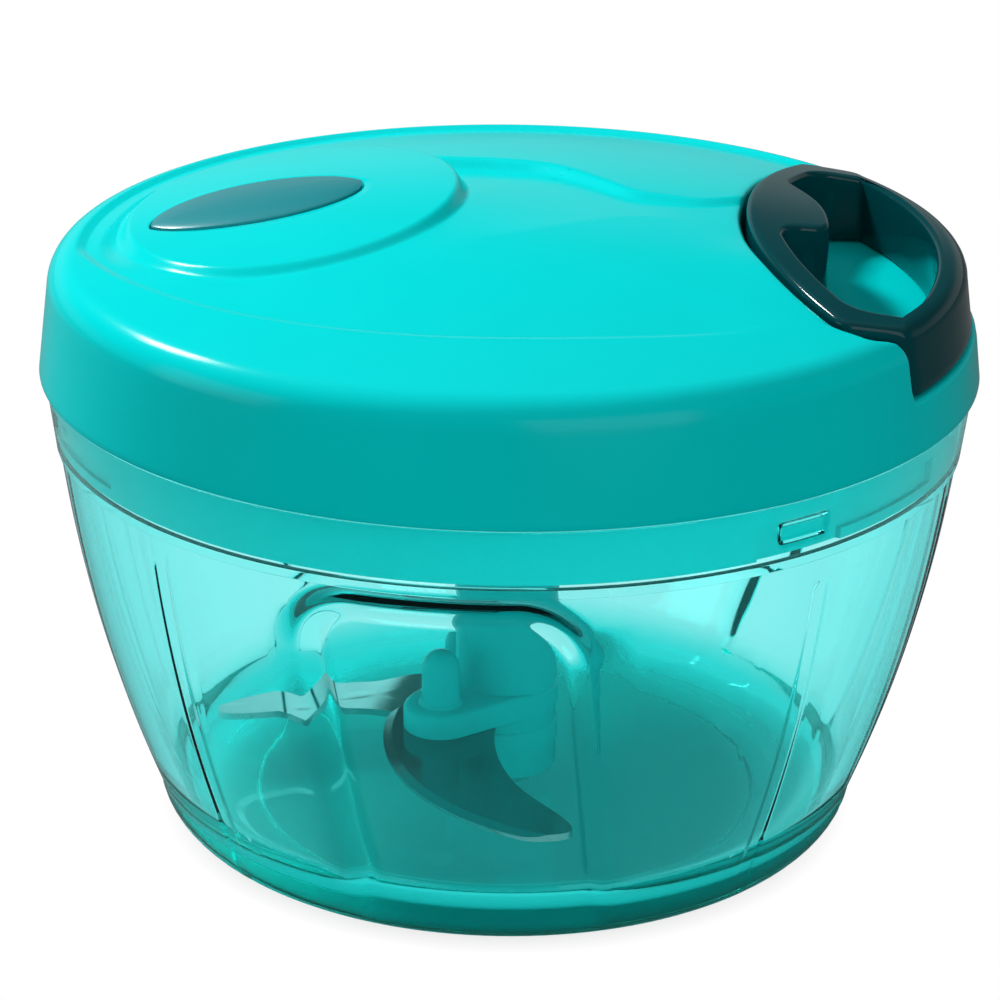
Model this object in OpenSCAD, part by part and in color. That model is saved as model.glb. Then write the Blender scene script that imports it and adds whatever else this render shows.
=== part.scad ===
// Pull cord food chopper: a clear bowl with a two-blade spindle, under a twist-lock lid.
// A handle in the lid's side pulls a cord off a spring-loaded reel, which turns the spindle.
// Millimetres. The foot stands on z = 0, the handle points along +X, the spindle is on Z.

/* [Bowl] */
// Radius of the flat foot that the bowl stands on
foot_r = 44; // [40:0.5:46]
// How far the rounded corner spreads out above the foot
foot_flare = 6.2; // [5:0.2:8]
// Height of the rounded corner above the foot
foot_rise = 6.4; // [5:0.2:8]
// Height of the hollow under the foot
foot_hollow = 0.8; // [0.4:0.1:1.4]
// Width of the flat ring that touches the table
foot_ring = 8; // [5:0.5:12]
// Height from the table to the lower edge of the lid
bowl_h = 67; // [62:1:80]
// Radius of the upright curve of the wall
wall_curve = 200; // [150:5:400]
// Thickness of the clear wall
bowl_wall = 2.4; // [2:0.1:3]
// Thickness of the floor
floor_t = 3; // [2.4:0.1:4]
// Height of the collar that takes the lid's skirt
collar_h = 9.6; // [9:0.2:12]
// Thickness of the collar
collar_t = 2.4; // [2.2:0.1:3]
// Radius that the collar loses from its rim to its lower edge
collar_draft = 1.2; // [0.6:0.1:1.6]
// Step from the collar in to the wall
collar_step = 0.4; // [0.2:0.1:0.8]
// Turn of the wall's pattern about the axis, from straight in front
bowl_turn = -3; // [-20:0.2:20]

/* [Wall pattern] */
// Width of each thumb panel at its top
panel_w = 34.8; // [28:0.2:38]
// How far the top of a thumb panel leans to one side of its foot
panel_lean = 5; // [0:0.5:6]
// How deep a thumb panel is set into the wall
panel_depth = 1.4; // [0.8:0.1:1.6]
// Radius of the upper corners of a thumb panel
panel_round = 7.5; // [5:0.5:14]
// How much each side of a thumb panel draws in towards its lower edge
panel_taper = 1.8; // [0:0.2:4]
// Height of the lower edge of a thumb panel above the table
panel_z = 3.6; // [3:0.2:6]
// Distance from the collar down to the top of a panel or groove
panel_drop = 1.4; // [1:0.1:4]
// Angle from a thumb panel to the grooves on both sides of it
groove_angle = 43.4; // [38:0.2:52]
// Width of a groove
groove_w = 2.8; // [2:0.1:4]
// Depth of a groove
groove_depth = 1; // [0.6:0.1:1.2]

/* [Bayonet] */
// Length of each lug inside the collar
lug_len = 7.5; // [5:0.5:10]
// Height of each lug
lug_h = 2.6; // [2:0.1:3]
// How far a lug stands into the collar
lug_t = 1.2; // [1:0.1:1.5]
// Distance from the collar's rim down to the top of the lugs
lug_drop = 3.4; // [2.8:0.1:4.4]
// Angle from straight in front to the first lug
lug_turn = 37; // [20:1:60]
// Turn that locks the lid
lock_turn = 20; // [12:1:24]

/* [Lid] */
// Radius of the lid at its lower edge
lid_r = 65.2; // [62:0.2:70]
// Height of the lid's crown above its lower edge
lid_h = 22; // [21:0.5:28]
// Slope of the lid's side wall, in degrees
lid_draft = 7; // [3:0.5:9]
// Radius of the dome
dome_r = 323; // [260:5:500]
// Radius of the shoulder between side wall and dome
shoulder_r = 4.6; // [3.5:0.2:6]
// Thickness of the lid cover
lid_wall = 2.2; // [1.8:0.1:2.6]
// How far the lid's edge stands out past the bowl's rim
rim_overhang = 0.8; // [0.6:0.1:1.4]
// Gap between the lid's edge and the bowl's rim
rim_gap = 0.4; // [0.3:0.1:0.8]
// Height of the seal ring
seal_h = 1.5; // [1:0.1:2]
// Thickness of the skirt that goes into the collar
skirt_t = 2; // [1.6:0.1:2.4]
// Thickness of the lid base plate
plate_t = 2; // [1.6:0.1:2.6]
// Distance from the axis to the lid screws
screw_circle = 46; // [42:0.5:50]

/* [Lid top] */
// Long half axis of the raised oval
oval_a = 30.7; // [24:0.5:32]
// Short half axis of the raised oval
oval_b = 23.2; // [20:0.5:24]
// Height of the raised oval above the dome
oval_h = 0.8; // [0.4:0.1:1.2]
// Length of the leaf inlay
leaf_l = 31.5; // [26:0.5:34]
// Width of the leaf inlay
leaf_w = 16.5; // [10:0.5:18]
// Thickness of the leaf inlay
leaf_t = 1.2; // [0.8:0.1:1.4]

/* [Handle] */
// Radius of the handle's inner curve
handle_arc = 52; // [46:0.5:56]
// Distance from the axis to the handle's inner face
handle_x = 32.5; // [32:0.5:36]
// Width of the handle's ring
handle_wall = 5; // [4:0.2:6]
// Height of the notch floor above the lid's lower edge
notch_h = 8; // [7:0.2:9.5]
// How far the handle stands proud of the dome
handle_proud = 0.6; // [0.2:0.1:1]
// How far the cord boss reaches into the ring
boss_l = 6.6; // [6:0.2:9]
// Half width of the cord boss at its end
boss_w = 4.2; // [3.8:0.1:5]
// Half width of the cord boss where it leaves the ring
boss_root = 8; // [6:0.5:11]

/* [Cord and reel] */
// Diameter of the pull cord
cord_d = 1.9; // [1.6:0.1:2.2]
// Turns of cord on the reel
cord_turns = 2.5; // [1.5:0.5:2.5]
// Gap between the turns
cord_gap = 0.5; // [0.45:0.05:0.9]
// Height of the cord above the handle's underside
cord_lift = 3.35; // [3.2:0.05:4]
// Depth of the reel's cord groove
groove_reach = 5.4; // [4:0.2:7]
// Thickness of the reel's flanges and cap
flange_t = 1.2; // [1:0.1:1.6]
// Thickness of the reel's drum
drum_t = 2; // [1.6:0.1:2.6]
// Thickness of the reel's web
web_t = 2; // [1.6:0.1:2.6]
// Radius of the lid's arbor inside the recoil spring
arbor_r = 6; // [5:0.2:7]
// Radius of the arbor's pin, which the reel turns on
pin_r = 3; // [2.6:0.1:3.6]
// Thickness of the recoil spring's strip
spring_t = 0.35; // [0.3:0.05:0.5]
// Coils of the recoil spring
spring_turns = 7; // [5:1:8]
// Thickness of the eyelet's tube
eyelet_t = 0.8; // [0.6:0.1:1]
// Radius of the knot at the cord's end
knot_r = 2.2; // [1.9:0.1:2.6]

/* [Drive] */
// Radius of the coupling's hub
hub_r = 9; // [8.6:0.1:10]
// Thickness of the coupling's flange
coupling_t = 2; // [1.8:0.1:2.6]
// Width of the coupling's flange outside its screw heads
coupling_rim = 0.6; // [0.4:0.1:2]
// Thickness of the bearing tube in the lid base
bearing_t = 2.2; // [1.8:0.1:2.4]
// Outer radius of the spindle's dogs
dog_r = 5.8; // [5.2:0.1:6]
// Radius of the core under the dogs
dog_core = 3; // [2.6:0.1:3.4]
// Width of each dog, in degrees
dog_angle = 35; // [28:1:36]
// Length of the dogs
dog_l = 4.4; // [3.6:0.1:4.6]
// Radius of the pivot pin in the floor
pivot_r = 2; // [1.6:0.1:2.4]
// Height of the pivot pin above its boss
pivot_l = 9; // [6:0.5:12]

/* [Blades] */
// Radius of the spindle's column
column_r = 7.3; // [7:0.1:8]
// Gap from the floor to the spindle
column_lift = 2; // [1.6:0.1:2.6]
// Height of the lower blade above the floor
lower_blade_h = 5.2; // [4.8:0.2:6]
// Height from the lower blade to the upper blade
blade_step = 5.6; // [5.2:0.2:8]
// Thickness of a blade
blade_t = 1; // [0.8:0.1:1.2]
// Gap between a blade's tip and the thumb panels
tip_gap = 3.8; // [3:0.1:7]
// Radius of a blade's cutting edge
edge_r = 35; // [33:0.5:37]
// Direction of the upper blade's tip
upper_blade_turn = -78; // [-90:1:-66]
// Direction of the lower blade's tip
lower_blade_turn = 176; // [170:1:186]
// Radius of the lobe that carries a blade
lobe_r = 5.3; // [4.8:0.1:6]
// Thickness of the lobe
lobe_t = 3.5; // [3:0.1:4.5]
// Radius of the upright peg on a lobe
peg_r = 2.7; // [2.4:0.1:3]
// Height of the peg above its lobe
peg_h = 8; // [7:0.5:9]

/* [Fasteners] */
// Shank radius of the lid screws
lid_screw_r = 1.4; // [1.2:0.1:1.6]
// Shank radius of the small screws
small_screw_r = 1.1; // [0.9:0.1:1.2]
// Height of the screw heads
head_h = 1.4; // [1.2:0.1:1.6]
// Height of the axle screw's flat head
axle_head_h = 1; // [0.8:0.1:1.2]

/* [Clearances] */
// Radial running fit of shafts and pins
run_gap = 0.05; // [0.03:0.01:0.1]
// Gap between parts that slide or turn past each other
slide_gap = 0.3; // [0.2:0.05:0.4]
// Gap of parts that sit in each other
seat_gap = 0.05; // [0.03:0.01:0.1]
// Gap around the handle in its notch
notch_gap = 0.8; // [0.7:0.1:1.2]
// Gap between the skirt and the collar
skirt_gap = 0.6; // [0.4:0.1:0.8]
// Gap between the reel and the walls around it
reel_gap = 1; // [0.6:0.1:1.4]
// Gap around the cord in its eyelet and in the handle
cord_room = 0.35; // [0.3:0.05:0.6]

/* [Hidden] */
$fn = 96;

// Pattern of three around the axis
fold = 3;
fold_step = 360 / fold;
// How far a cut runs past the face that it opens
over = 1;
// Direction of the front, seen from above
front = -90;
// Points on the curves
corner_steps = 8;
wall_steps = 15;
dome_steps = 12;
oval_steps = 72;

// Bowl heights and radii
rim_z = bowl_h - rim_gap;
rim_r = lid_r - rim_overhang;
collar_in = rim_r - collar_t;
collar_z = rim_z - collar_h;
collar_low_r = rim_r - collar_draft;
wall_top = [collar_low_r - collar_step, collar_z];
wall_foot = [foot_r + foot_flare, foot_rise];
corner_fullness = 0.74;
corner_r = corner_fullness * norm([foot_flare, foot_rise]);
wall_mid = (wall_top + wall_foot) / 2;
wall_dir = (wall_top - wall_foot) / norm(wall_top - wall_foot);
wall_sag = sqrt(pow(wall_curve, 2) - pow(norm(wall_top - wall_foot) / 2, 2));
wall_centre = wall_mid + wall_sag * [-wall_dir[1], wall_dir[0]];
ledge_t = 1;
ledge_z = collar_z + ledge_t;
inner_floor_inset = 6.6;
inner_floor_r = foot_r - inner_floor_inset;
inner_corner_rise = 8;
inner_corner_z = floor_t + inner_corner_rise;
inner_corner_fullness = 0.9;
boss_top_z = floor_t + column_lift - slide_gap;
boss_wall = 2;
pivot_sink = 2;
pivot_z = boss_top_z + pivot_l;

// Lid wall, shoulder and dome
crown_z = bowl_h + lid_h;
notch_z = bowl_h + notch_h;
draft_slope = tan(lid_draft);
least_round = 0.6;

// Handle and the notch that holds it
handle_cx = handle_x + handle_arc;
notch_arc = handle_arc + notch_gap;
notch_x = handle_cx - notch_arc;
notch_in_x = notch_x - lid_wall;
handle_z = notch_z + slide_gap;
handle_inset = 0.6;
ring_out = side_r(handle_z) - handle_inset - handle_wall;
boss_x = handle_x + handle_wall + boss_l;
knot_x = boss_x - boss_w;
knot_room = 0.3;
cord_bore = cord_d / 2 + cord_room;
knot_cut = 1.9;

// Seal ring and lid base
seal_in = collar_in + slide_gap;
seal_out = rim_r - slide_gap - seat_gap;
seal_z = rim_z + seat_gap;
seat_z = seal_z + seal_h + seat_gap;
skirt_r = collar_in - skirt_gap;
skirt_lift = 0.6;
skirt_z = ledge_z + skirt_lift;
plate_rise = 1.2;
plate_z = skirt_z + plate_rise;
plate_top = plate_z + plate_t;
tie_t = 1.4;
tie_z = seat_z + seat_gap;
tie_r = side_r(tie_z + tie_t) - lid_wall / cos(lid_draft) - slide_gap;

// Bayonet lugs and their slots in the skirt
lug_z = rim_z - lug_drop - lug_h;
lug_angle = 2 * asin(lug_len / 2 / collar_in);
lug_room = 0.5;
lug_play = 3;
slot_r = collar_in - lug_t - slide_gap;

// Reel stack, from the cord down
cord_z = handle_z + cord_lift;
cord_pitch = cord_d + cord_gap;
groove_room = 0.35;
groove_top = cord_z + cord_d / 2 + groove_room;
groove_h = cord_turns * cord_pitch + cord_d + 2 * groove_room;
groove_z = groove_top - groove_h;
groove_rise = 2.6;
web_top = groove_z - groove_rise;
reel_z = web_top - web_t;
reel_top = groove_top + flange_t;
lip_t = notch_gap - slide_gap;
reel_r = notch_in_x - lip_t - reel_gap;
drum_r = reel_r - groove_reach;
drum_in = drum_r - drum_t;
wind_r = drum_r + cord_d / 2 + slide_gap;
cap_z = reel_top - flange_t;
cap_rebate = 1;
eyelet_r = cord_bore + eyelet_t;
lip_reach = 1;
lip_r = eyelet_r + lip_reach;

// Drive under the reel, down to the lid base
flange_top = reel_z - seat_gap;
flange_z = flange_top - coupling_t;
bearing_top = flange_z - slide_gap;
cavity_sink = 0.5;
cavity_z = flange_z - cavity_sink;
socket_web = 0.8;
socket_top = cavity_z - socket_web;
socket_r = dog_r + slide_gap;
column_top = skirt_z - slide_gap;
dog_top = min(column_top + dog_l, socket_top - slide_gap);
dog_play = 0.4;

// Arbor, its pin and what holds the reel on it
arbor_z = web_top + slide_gap;
pin_z = reel_z - seat_gap;
washer_t = 0.8;
washer_z = pin_z - seat_gap - washer_t;
washer_rim = 2.4;
washer_r = pin_r + washer_rim;
washer_room = 0.6;
cavity_r = washer_r + washer_room;
axle_head_z = washer_z - seat_gap - axle_head_h;
axle_screw_l = 8;
head_ratio = 2;
lid_head_r = head_ratio * lid_screw_r;
small_head_r = head_ratio * small_screw_r;
head_room = 0.7;
coupling_screw_at = hub_r + run_gap + bearing_t + head_room + small_head_r;
coupling_r = coupling_screw_at + small_head_r + coupling_rim;

// Lid screws
screw_count = 4;
screw_turn = 45;
screw_boss_t = 2.2;
screw_boss_r = lid_screw_r + screw_boss_t;
sink_r = lid_head_r + slide_gap;
sink_wall = 1.5;
sink_top = plate_z + head_h + slide_gap;
sink_roof = 2;
boss_z = sink_top + sink_roof + seat_gap;
lid_screw_l = 10;

// Recoil spring
spring_h = groove_top - web_top - 2 * over;
spring_in = arbor_r + spring_t;
spring_out = drum_in - spring_t;
spring_tab = 1.6;
spring_room = 0.15;
spring_steps = 24;

// Blade unit, from the floor up
column_z = floor_t + column_lift;
lower_z = floor_t + lower_blade_h;
upper_z = lower_z + blade_step;
lobe_x = 7.2;
lobe_y = -11;
lobe_at = [lobe_x, lobe_y];
edge_x = 14.4;
edge_y = 15;
edge_at = [edge_x, edge_y];
back_r = 36.3;
back_x = 20.1;
back_y = 31.2;
back_at = [back_x, back_y];
heel_r = 22.5;
heel_x = 22;
heel_y = -9;
heel_at = [heel_x, heel_y];
blade_screw_l = 6;
blade_reach = corner_at(lower_z, panel_depth) - tip_gap;

// Route of the cord from the reel through the eyelet to the knot, as seen from above
lead_angle = 32;
lead_start = wind_r * [cos(lead_angle), sin(lead_angle)];
lead_end = [knot_x - knot_cut, 0];
lead_bends = [[22, 9.8], [24, 6.6], [25.8, 3.6], [27.1, 1.6], [28.6, 0.2], [30.6, 0], [33, 0], [35.5, 0]];
lead_route = concat([lead_start], lead_bends, [lead_end]);
lead_sides = 8;

// Lid top, as seen from above
leaf_edge = 30.2;
leaf_back = 4.8;
leaf_place = [leaf_edge - lid_r, leaf_back];
leaf_angle = 25.6;
leaf_sink = 0.2;
leaf_arc = (pow(leaf_l / 2, 2) + pow(leaf_w / 2, 2)) / leaf_w;
oval_edge = 34.9;
oval_back = 7.6;
oval_place = [oval_edge - lid_r, oval_back];
oval_angle = 80;

// Colours
clear_teal = [0.45, 0.85, 0.83, 0.45];
turquoise = [0.05, 0.78, 0.76];
dark_teal = [0.03, 0.24, 0.26];
leaf_teal = [0.12, 0.45, 0.48];
steel = [0.78, 0.8, 0.8];
cord_white = [0.9, 0.9, 0.86];
reel_white = [0.85, 0.87, 0.86];
seal_teal = [0.1, 0.4, 0.4];

// Points on an arc, angles in degrees
function arc(c, r, a0, a1, n) =
    [for (i = [0 : n]) let (a = a0 + (a1 - a0) * i / n) c + r * [cos(a), sin(a)]];

// Angle of a point seen from a centre
function bearing_of(c, p) = atan2(p[1] - c[1], p[0] - c[0]);

// Centre of the arc of radius r that bulges to the right on the way from p to q
function bulge_centre(p, q, r) =
    let (d = norm(q - p), u = (q - p) / d, s = sqrt(max(r * r - d * d / 4, 0)))
    (p + q) / 2 + s * [-u[1], u[0]];

// Points of that arc
function bulge(p, q, r) =
    let (c = bulge_centre(p, q, r)) arc(c, r, bearing_of(c, p), bearing_of(c, q), corner_steps);

// Radius of the bowl's wall at a height, set in by some depth
function wall_at(z, inset) = wall_centre[0] + sqrt(pow(wall_curve - inset, 2) - pow(z - wall_centre[1], 2));

// Points up the bowl's wall from above one height to another, set in by some depth
function wall_points(z0, z1, inset) =
    [for (i = [1 : wall_steps]) let (z = z0 + (z1 - z0) * i / wall_steps) [wall_at(z, inset), z]];

// Outer profile of the bowl below its collar, set in by some depth
function outer_profile(inset) = concat([[0, 0]],
    bulge([foot_r - inset, 0], [wall_at(foot_rise, inset), foot_rise], corner_r),
    wall_points(foot_rise, collar_z, inset), [[0, collar_z]]);

// Profile of the bowl's inside, set in by some depth
function cavity_profile(inset) =
    let (p = inner_low(inset), q = inner_high(inset))
    concat([[0, floor_t]], bulge(p, q, inner_corner_fullness * norm(q - p)),
        wall_points(inner_corner_z, ledge_z, bowl_wall + inset), [[0, ledge_z]]);

// Ends of the rounded corner inside the bowl, set in by some depth
function inner_low(inset) = [inner_floor_r - inset, floor_t];
function inner_high(inset) = [wall_at(inner_corner_z, bowl_wall + inset), inner_corner_z];

// Radius of that corner at a height
function corner_at(z, inset) =
    let (
        p = inner_low(inset),
        q = inner_high(inset),
        r = inner_corner_fullness * norm(q - p),
        c = bulge_centre(p, q, r)
    )
    c[0] + sqrt(r * r - pow(z - c[1], 2));

// Radius of the lid's side wall at a height
function side_r(z) = lid_r - (z - bowl_h) * draft_slope;

// Profile of the lid with its side set in by ds and its dome by dd, from height z0 up
function lid_profile(z0, ds, dd) =
    let (
        round = max(shoulder_r - max(ds, dd), least_round),
        zd = crown_z - dome_r,
        rd = dome_r - dd - round,
        a = lid_r + bowl_h * draft_slope - (ds + round) / cos(lid_draft),
        k = draft_slope,
        b = a * k + zd,
        zc = (b + sqrt(b * b - (k * k + 1) * (a * a + zd * zd - rd * rd))) / (k * k + 1),
        rc = a - k * zc,
        top = atan2(zc - zd, rc)
    )
    concat([[0, z0], [side_r(z0) - ds / cos(lid_draft), z0]],
        arc([rc, zc], round, lid_draft, top, corner_steps),
        arc([0, zd], dome_r - dd, top + (90 - top) / dome_steps, 90, dome_steps - 1));

// Ring of n points about c, square to the direction t, and what it needs
function unit(v) = v / norm(v);
function tangent(p, i) = unit(p[min(i + 1, len(p) - 1)] - p[max(i - 1, 0)]);
function ring(c, t, r, n) =
    let (side = unit(cross(t, [0, 0, 1])), up = cross(side, t))
    [for (k = [0 : n - 1]) c + r * (cos(360 * k / n) * side + sin(360 * k / n) * up)];

// One closed tube along the points p
module tube(p, r, n) {
    rings = len(p);
    points = [for (i = [0 : rings - 1]) each ring(p[i], tangent(p, i), r, n)];
    walls = [for (i = [0 : rings - 2], k = [0 : n - 1])
        let (a = i * n + k, b = i * n + (k + 1) % n)
        each [[a, a + n, b], [b, a + n, b + n]]];
    first = [for (k = [1 : n - 2]) [0, k, k + 1]];
    last = [for (k = [1 : n - 2]) let (s = (rings - 1) * n) [s, s + k + 1, s + k]];
    polyhedron(points, concat(walls, first, last));
}

// Turns of cord on the reel, from the inner end up to the point where the cord leaves
loop_rings = 24;
wind_sides = 6;
wind_steps = loop_rings * cord_turns;
lead_break = 3;
wind_points = [for (i = [0 : wind_steps])
    let (left = cord_turns * (1 - i / wind_steps), a = lead_angle + lead_break + 360 * left)
    [wind_r * cos(a), wind_r * sin(a), cord_z - cord_pitch * left]];
wind_spacing = [for (i = [0 : wind_steps - loop_rings]) norm(wind_points[i + loop_rings] - wind_points[i])];
wind_gap = min(wind_spacing) - cord_d;
echo(least_gap_of_cord_winding = wind_gap);

// Wedge about the axis between two angles, as far out as the tangents at r meet
module wedge(r, a0, a1, z0, z1) {
    mid = (a0 + a1) / 2;
    tip = r / cos((a1 - a0) / 2);
    translate([0, 0, z0])
        linear_extrude(height = z1 - z0)
            polygon([[0, 0], r * [cos(a0), sin(a0)], tip * [cos(mid), sin(mid)], r * [cos(a1), sin(a1)]]);
}

// Ring about the axis
module hoop(r_out, r_in, z0, z1) {
    translate([0, 0, z0])
        difference() {
            cylinder(r = r_out, h = z1 - z0);
            translate([0, 0, -over])
                cylinder(r = r_in, h = z1 - z0 + 2 * over);
        }
}

// Upright post from one height to another
module post(x, y, r, z0, z1) {
    translate([x, y, z0])
        cylinder(r = r, h = z1 - z0);
}

// Screw pointing up, with its head's upper face at z
module screw(x, y, r, z, l) {
    post(x, y, head_ratio * r, z - head_h, z);
    post(x, y, r, z - head_h / 2, z + l);
}

// Outline of a thumb panel with round upper corners, grown by some width
module panel_outline(grow) {
    half = panel_w / 2 + grow;
    top = collar_z - panel_drop;
    low = half - panel_taper;
    polygon(concat([[-low, panel_z - grow], [low, panel_z - grow]],
        arc([half - panel_round - panel_lean, top - panel_round], panel_round, 0, 90, corner_steps),
        arc([panel_round - half - panel_lean, top - panel_round], panel_round, 90, 180, corner_steps)));
}

// Upright slab through the wall, straight in front of the axis
module front_slab() {
    rotate([90, 0, 0])
        linear_extrude(height = 2 * lid_r)
            children();
}

// What a thumb panel takes off the wall
module panel_cut() {
    difference() {
        front_slab() panel_outline(0);
        rotate_extrude() polygon(outer_profile(panel_depth));
    }
}

// Where a thumb panel stands into the bowl's inside
module panel_pad() {
    difference() {
        front_slab() panel_outline(panel_depth);
        rotate_extrude() polygon(cavity_profile(panel_depth));
    }
}

// What a groove takes off the wall
module groove_cut() {
    top = collar_z - panel_drop - groove_w / 2;
    difference() {
        front_slab() {
            translate([-groove_w / 2, panel_z])
                square([groove_w, top - panel_z]);
            translate([0, top])
                circle(r = groove_w / 2);
        }
        rotate_extrude() polygon(outer_profile(groove_depth));
    }
}

module bowl() {
    color(clear_teal)
    difference() {
        union() {
            rotate_extrude()
                polygon(outer_profile(0));
            rotate_extrude()
                polygon([[0, collar_z], [collar_low_r, collar_z], [rim_r, rim_z], [0, rim_z]]);
        }
        post(0, 0, foot_r - foot_ring, -over, foot_hollow);
        for (i = [0 : fold - 1])
            rotate([0, 0, bowl_turn + i * fold_step]) {
                panel_cut();
                for (side = [-1, 1])
                    rotate([0, 0, side * groove_angle])
                        groove_cut();
            }
        difference() {
            rotate_extrude()
                polygon(cavity_profile(0));
            for (i = [0 : fold - 1])
                rotate([0, 0, bowl_turn + i * fold_step])
                    panel_pad();
            post(0, 0, pivot_r + boss_wall, 0, boss_top_z);
        }
        difference() {
            post(0, 0, collar_in, ledge_z - seat_gap, rim_z + over);
            for (i = [0 : fold - 1])
                rotate([0, 0, front + lug_turn + i * fold_step])
                    bayonet_lug();
        }
        post(0, 0, pivot_r, boss_top_z - pivot_sink, boss_top_z + over);
    }
}

// One lug inside the collar
module bayonet_lug() {
    intersection() {
        hoop(collar_in + over, collar_in - lug_t, lug_z, lug_z + lug_h);
        wedge(lid_r, -lug_angle / 2, lug_angle / 2, lug_z, lug_z + lug_h);
    }
}

module pivot_pin() {
    color(steel) {
        post(0, 0, pivot_r, boss_top_z - pivot_sink, pivot_z - pivot_r);
        translate([0, 0, pivot_z - pivot_r])
            sphere(r = pivot_r);
    }
}

module seal_ring() {
    color(seal_teal)
        hoop(seal_out, seal_in, seal_z, seal_z + seal_h);
}

// Solid of the whole lid, its side set in by ds and its dome by dd
module lid_solid(z0, ds, dd) {
    rotate_extrude()
        polygon(lid_profile(z0, ds, dd));
}

// Oval on the lid's top
module oval_prism() {
    translate([oval_place[0], oval_place[1], notch_z])
        rotate([0, 0, oval_angle])
            linear_extrude(height = lid_h)
                polygon([for (i = [0 : oval_steps - 1])
                    let (a = 360 * i / oval_steps) [oval_a * cos(a), oval_b * sin(a)]]);
}

// Pointed leaf between two arcs, grown by some width
module leaf_prism(grow) {
    shift = leaf_arc - leaf_w / 2;
    translate([leaf_place[0], leaf_place[1], notch_z])
        rotate([0, 0, leaf_angle])
            linear_extrude(height = lid_h)
                intersection() {
                    translate([0, shift])
                        circle(r = leaf_arc + grow);
                    translate([0, -shift])
                        circle(r = leaf_arc + grow);
                }
}

// Places of the lid screws
module at_lid_screws() {
    for (i = [0 : screw_count - 1])
        rotate([0, 0, screw_turn + 360 * i / screw_count])
            translate([screw_circle, 0, 0])
                children();
}

module lid_cover() {
    color(turquoise)
    difference() {
        union() {
            difference() {
                union() {
                    lid_solid(bowl_h, 0, 0);
                    intersection() {
                        lid_solid(bowl_h, 0, -oval_h);
                        oval_prism();
                    }
                }
                lid_solid(seat_z, lid_wall, lid_wall);
                post(0, 0, seal_out + seat_gap, bowl_h - over, seat_z + seat_gap);
            }
            intersection() {
                lid_solid(notch_z - lid_wall, lid_wall / 2, lid_wall / 2);
                post(handle_cx, 0, notch_arc + lid_wall, notch_z - lid_wall, crown_z);
            }
            intersection() {
                lid_solid(bowl_h - 2 * lid_h, lid_wall / 2, lid_wall / 2);
                union() {
                    post(0, 0, arbor_r, arbor_z, crown_z);
                    at_lid_screws()
                        post(0, 0, screw_boss_r, boss_z, crown_z);
                }
            }
            post(0, 0, pin_r, pin_z, arbor_z + over);
        }
        post(handle_cx, 0, notch_arc, notch_z, crown_z + over);
        difference() {
            leaf_prism(seat_gap);
            lid_solid(bowl_h, 0, leaf_t - oval_h);
        }
        along_cord(notch_in_x - over, notch_x + over, eyelet_r + seat_gap);
        along_cord(notch_x, notch_x + lip_t, lip_r + seat_gap);
        post(0, 0, small_screw_r + seat_gap, pin_z - over, pin_z + axle_screw_l + over);
        at_lid_screws()
            post(0, 0, lid_screw_r + seat_gap, boss_z - over, sink_top + lid_screw_l + over);
        spring_slot();
    }
}

// Rod along the cord's line through the eyelet, from one distance to another
module along_cord(x0, x1, r) {
    translate([x0, 0, cord_z])
        rotate([0, 90, 0])
            cylinder(r = r, h = x1 - x0);
}

// Slot in the arbor that holds the inner end of the spring
module spring_slot() {
    translate([arbor_r - spring_tab - spring_room, -spring_t - spring_room, arbor_z - over])
        cube([spring_tab + over, spring_t + 2 * spring_room, spring_h + 2 * over]);
}

// Slots that the bayonet lugs run in
module skirt_slots() {
    for (i = [0 : fold - 1])
        rotate([0, 0, front + lug_turn + i * fold_step]) {
            half = lug_angle / 2 + lug_play;
            wedge(lid_r, -half, half, skirt_z - over, lug_z + lug_h + lug_room);
            wedge(lid_r, -half, half + lock_turn, lug_z - lug_room, lug_z + lug_h + lug_room);
        }
}

module lid_base() {
    color(turquoise)
    difference() {
        union() {
            hoop(skirt_r, skirt_r - skirt_t, skirt_z, tie_z + tie_t);
            hoop(tie_r, skirt_r - skirt_t, tie_z, tie_z + tie_t);
            post(0, 0, skirt_r - skirt_t + seat_gap, plate_z, plate_top);
            post(0, 0, hub_r + run_gap + bearing_t, skirt_z, bearing_top);
            at_lid_screws()
                post(0, 0, sink_r + sink_wall, plate_z, sink_top + sink_roof);
        }
        difference() {
            skirt_slots();
            post(0, 0, slot_r, skirt_z - 2 * over, rim_z);
        }
        post(0, 0, hub_r + run_gap, skirt_z - over, bearing_top + over);
        at_lid_screws() {
            post(0, 0, sink_r, plate_z - over, sink_top);
            post(0, 0, lid_screw_r + slide_gap, sink_top - over, sink_top + sink_roof + over);
        }
    }
}

module leaf_inlay() {
    color(leaf_teal)
    intersection() {
        leaf_prism(-seat_gap);
        difference() {
            lid_solid(bowl_h, 0, leaf_sink - oval_h);
            lid_solid(bowl_h - over, 0, leaf_t - oval_h - seat_gap);
        }
    }
}

module cord_eyelet() {
    color(steel)
    difference() {
        union() {
            along_cord(notch_in_x - lip_t, notch_in_x, lip_r);
            along_cord(notch_in_x - lip_t, notch_x + lip_t, eyelet_r);
            along_cord(notch_x, notch_x + lip_t, lip_r);
        }
        along_cord(notch_in_x - over, notch_x + over, cord_bore);
    }
}

module lid_screws() {
    color(steel)
    at_lid_screws()
        screw(0, 0, lid_screw_r, sink_top - seat_gap, lid_screw_l);
}

module axle_washer() {
    color(steel)
        hoop(washer_r, small_screw_r + seat_gap, washer_z, washer_z + washer_t);
}

module axle_screw() {
    color(steel) {
        post(0, 0, small_head_r, axle_head_z, washer_z - seat_gap);
        post(0, 0, small_screw_r, axle_head_z, pin_z + axle_screw_l);
    }
}

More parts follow.
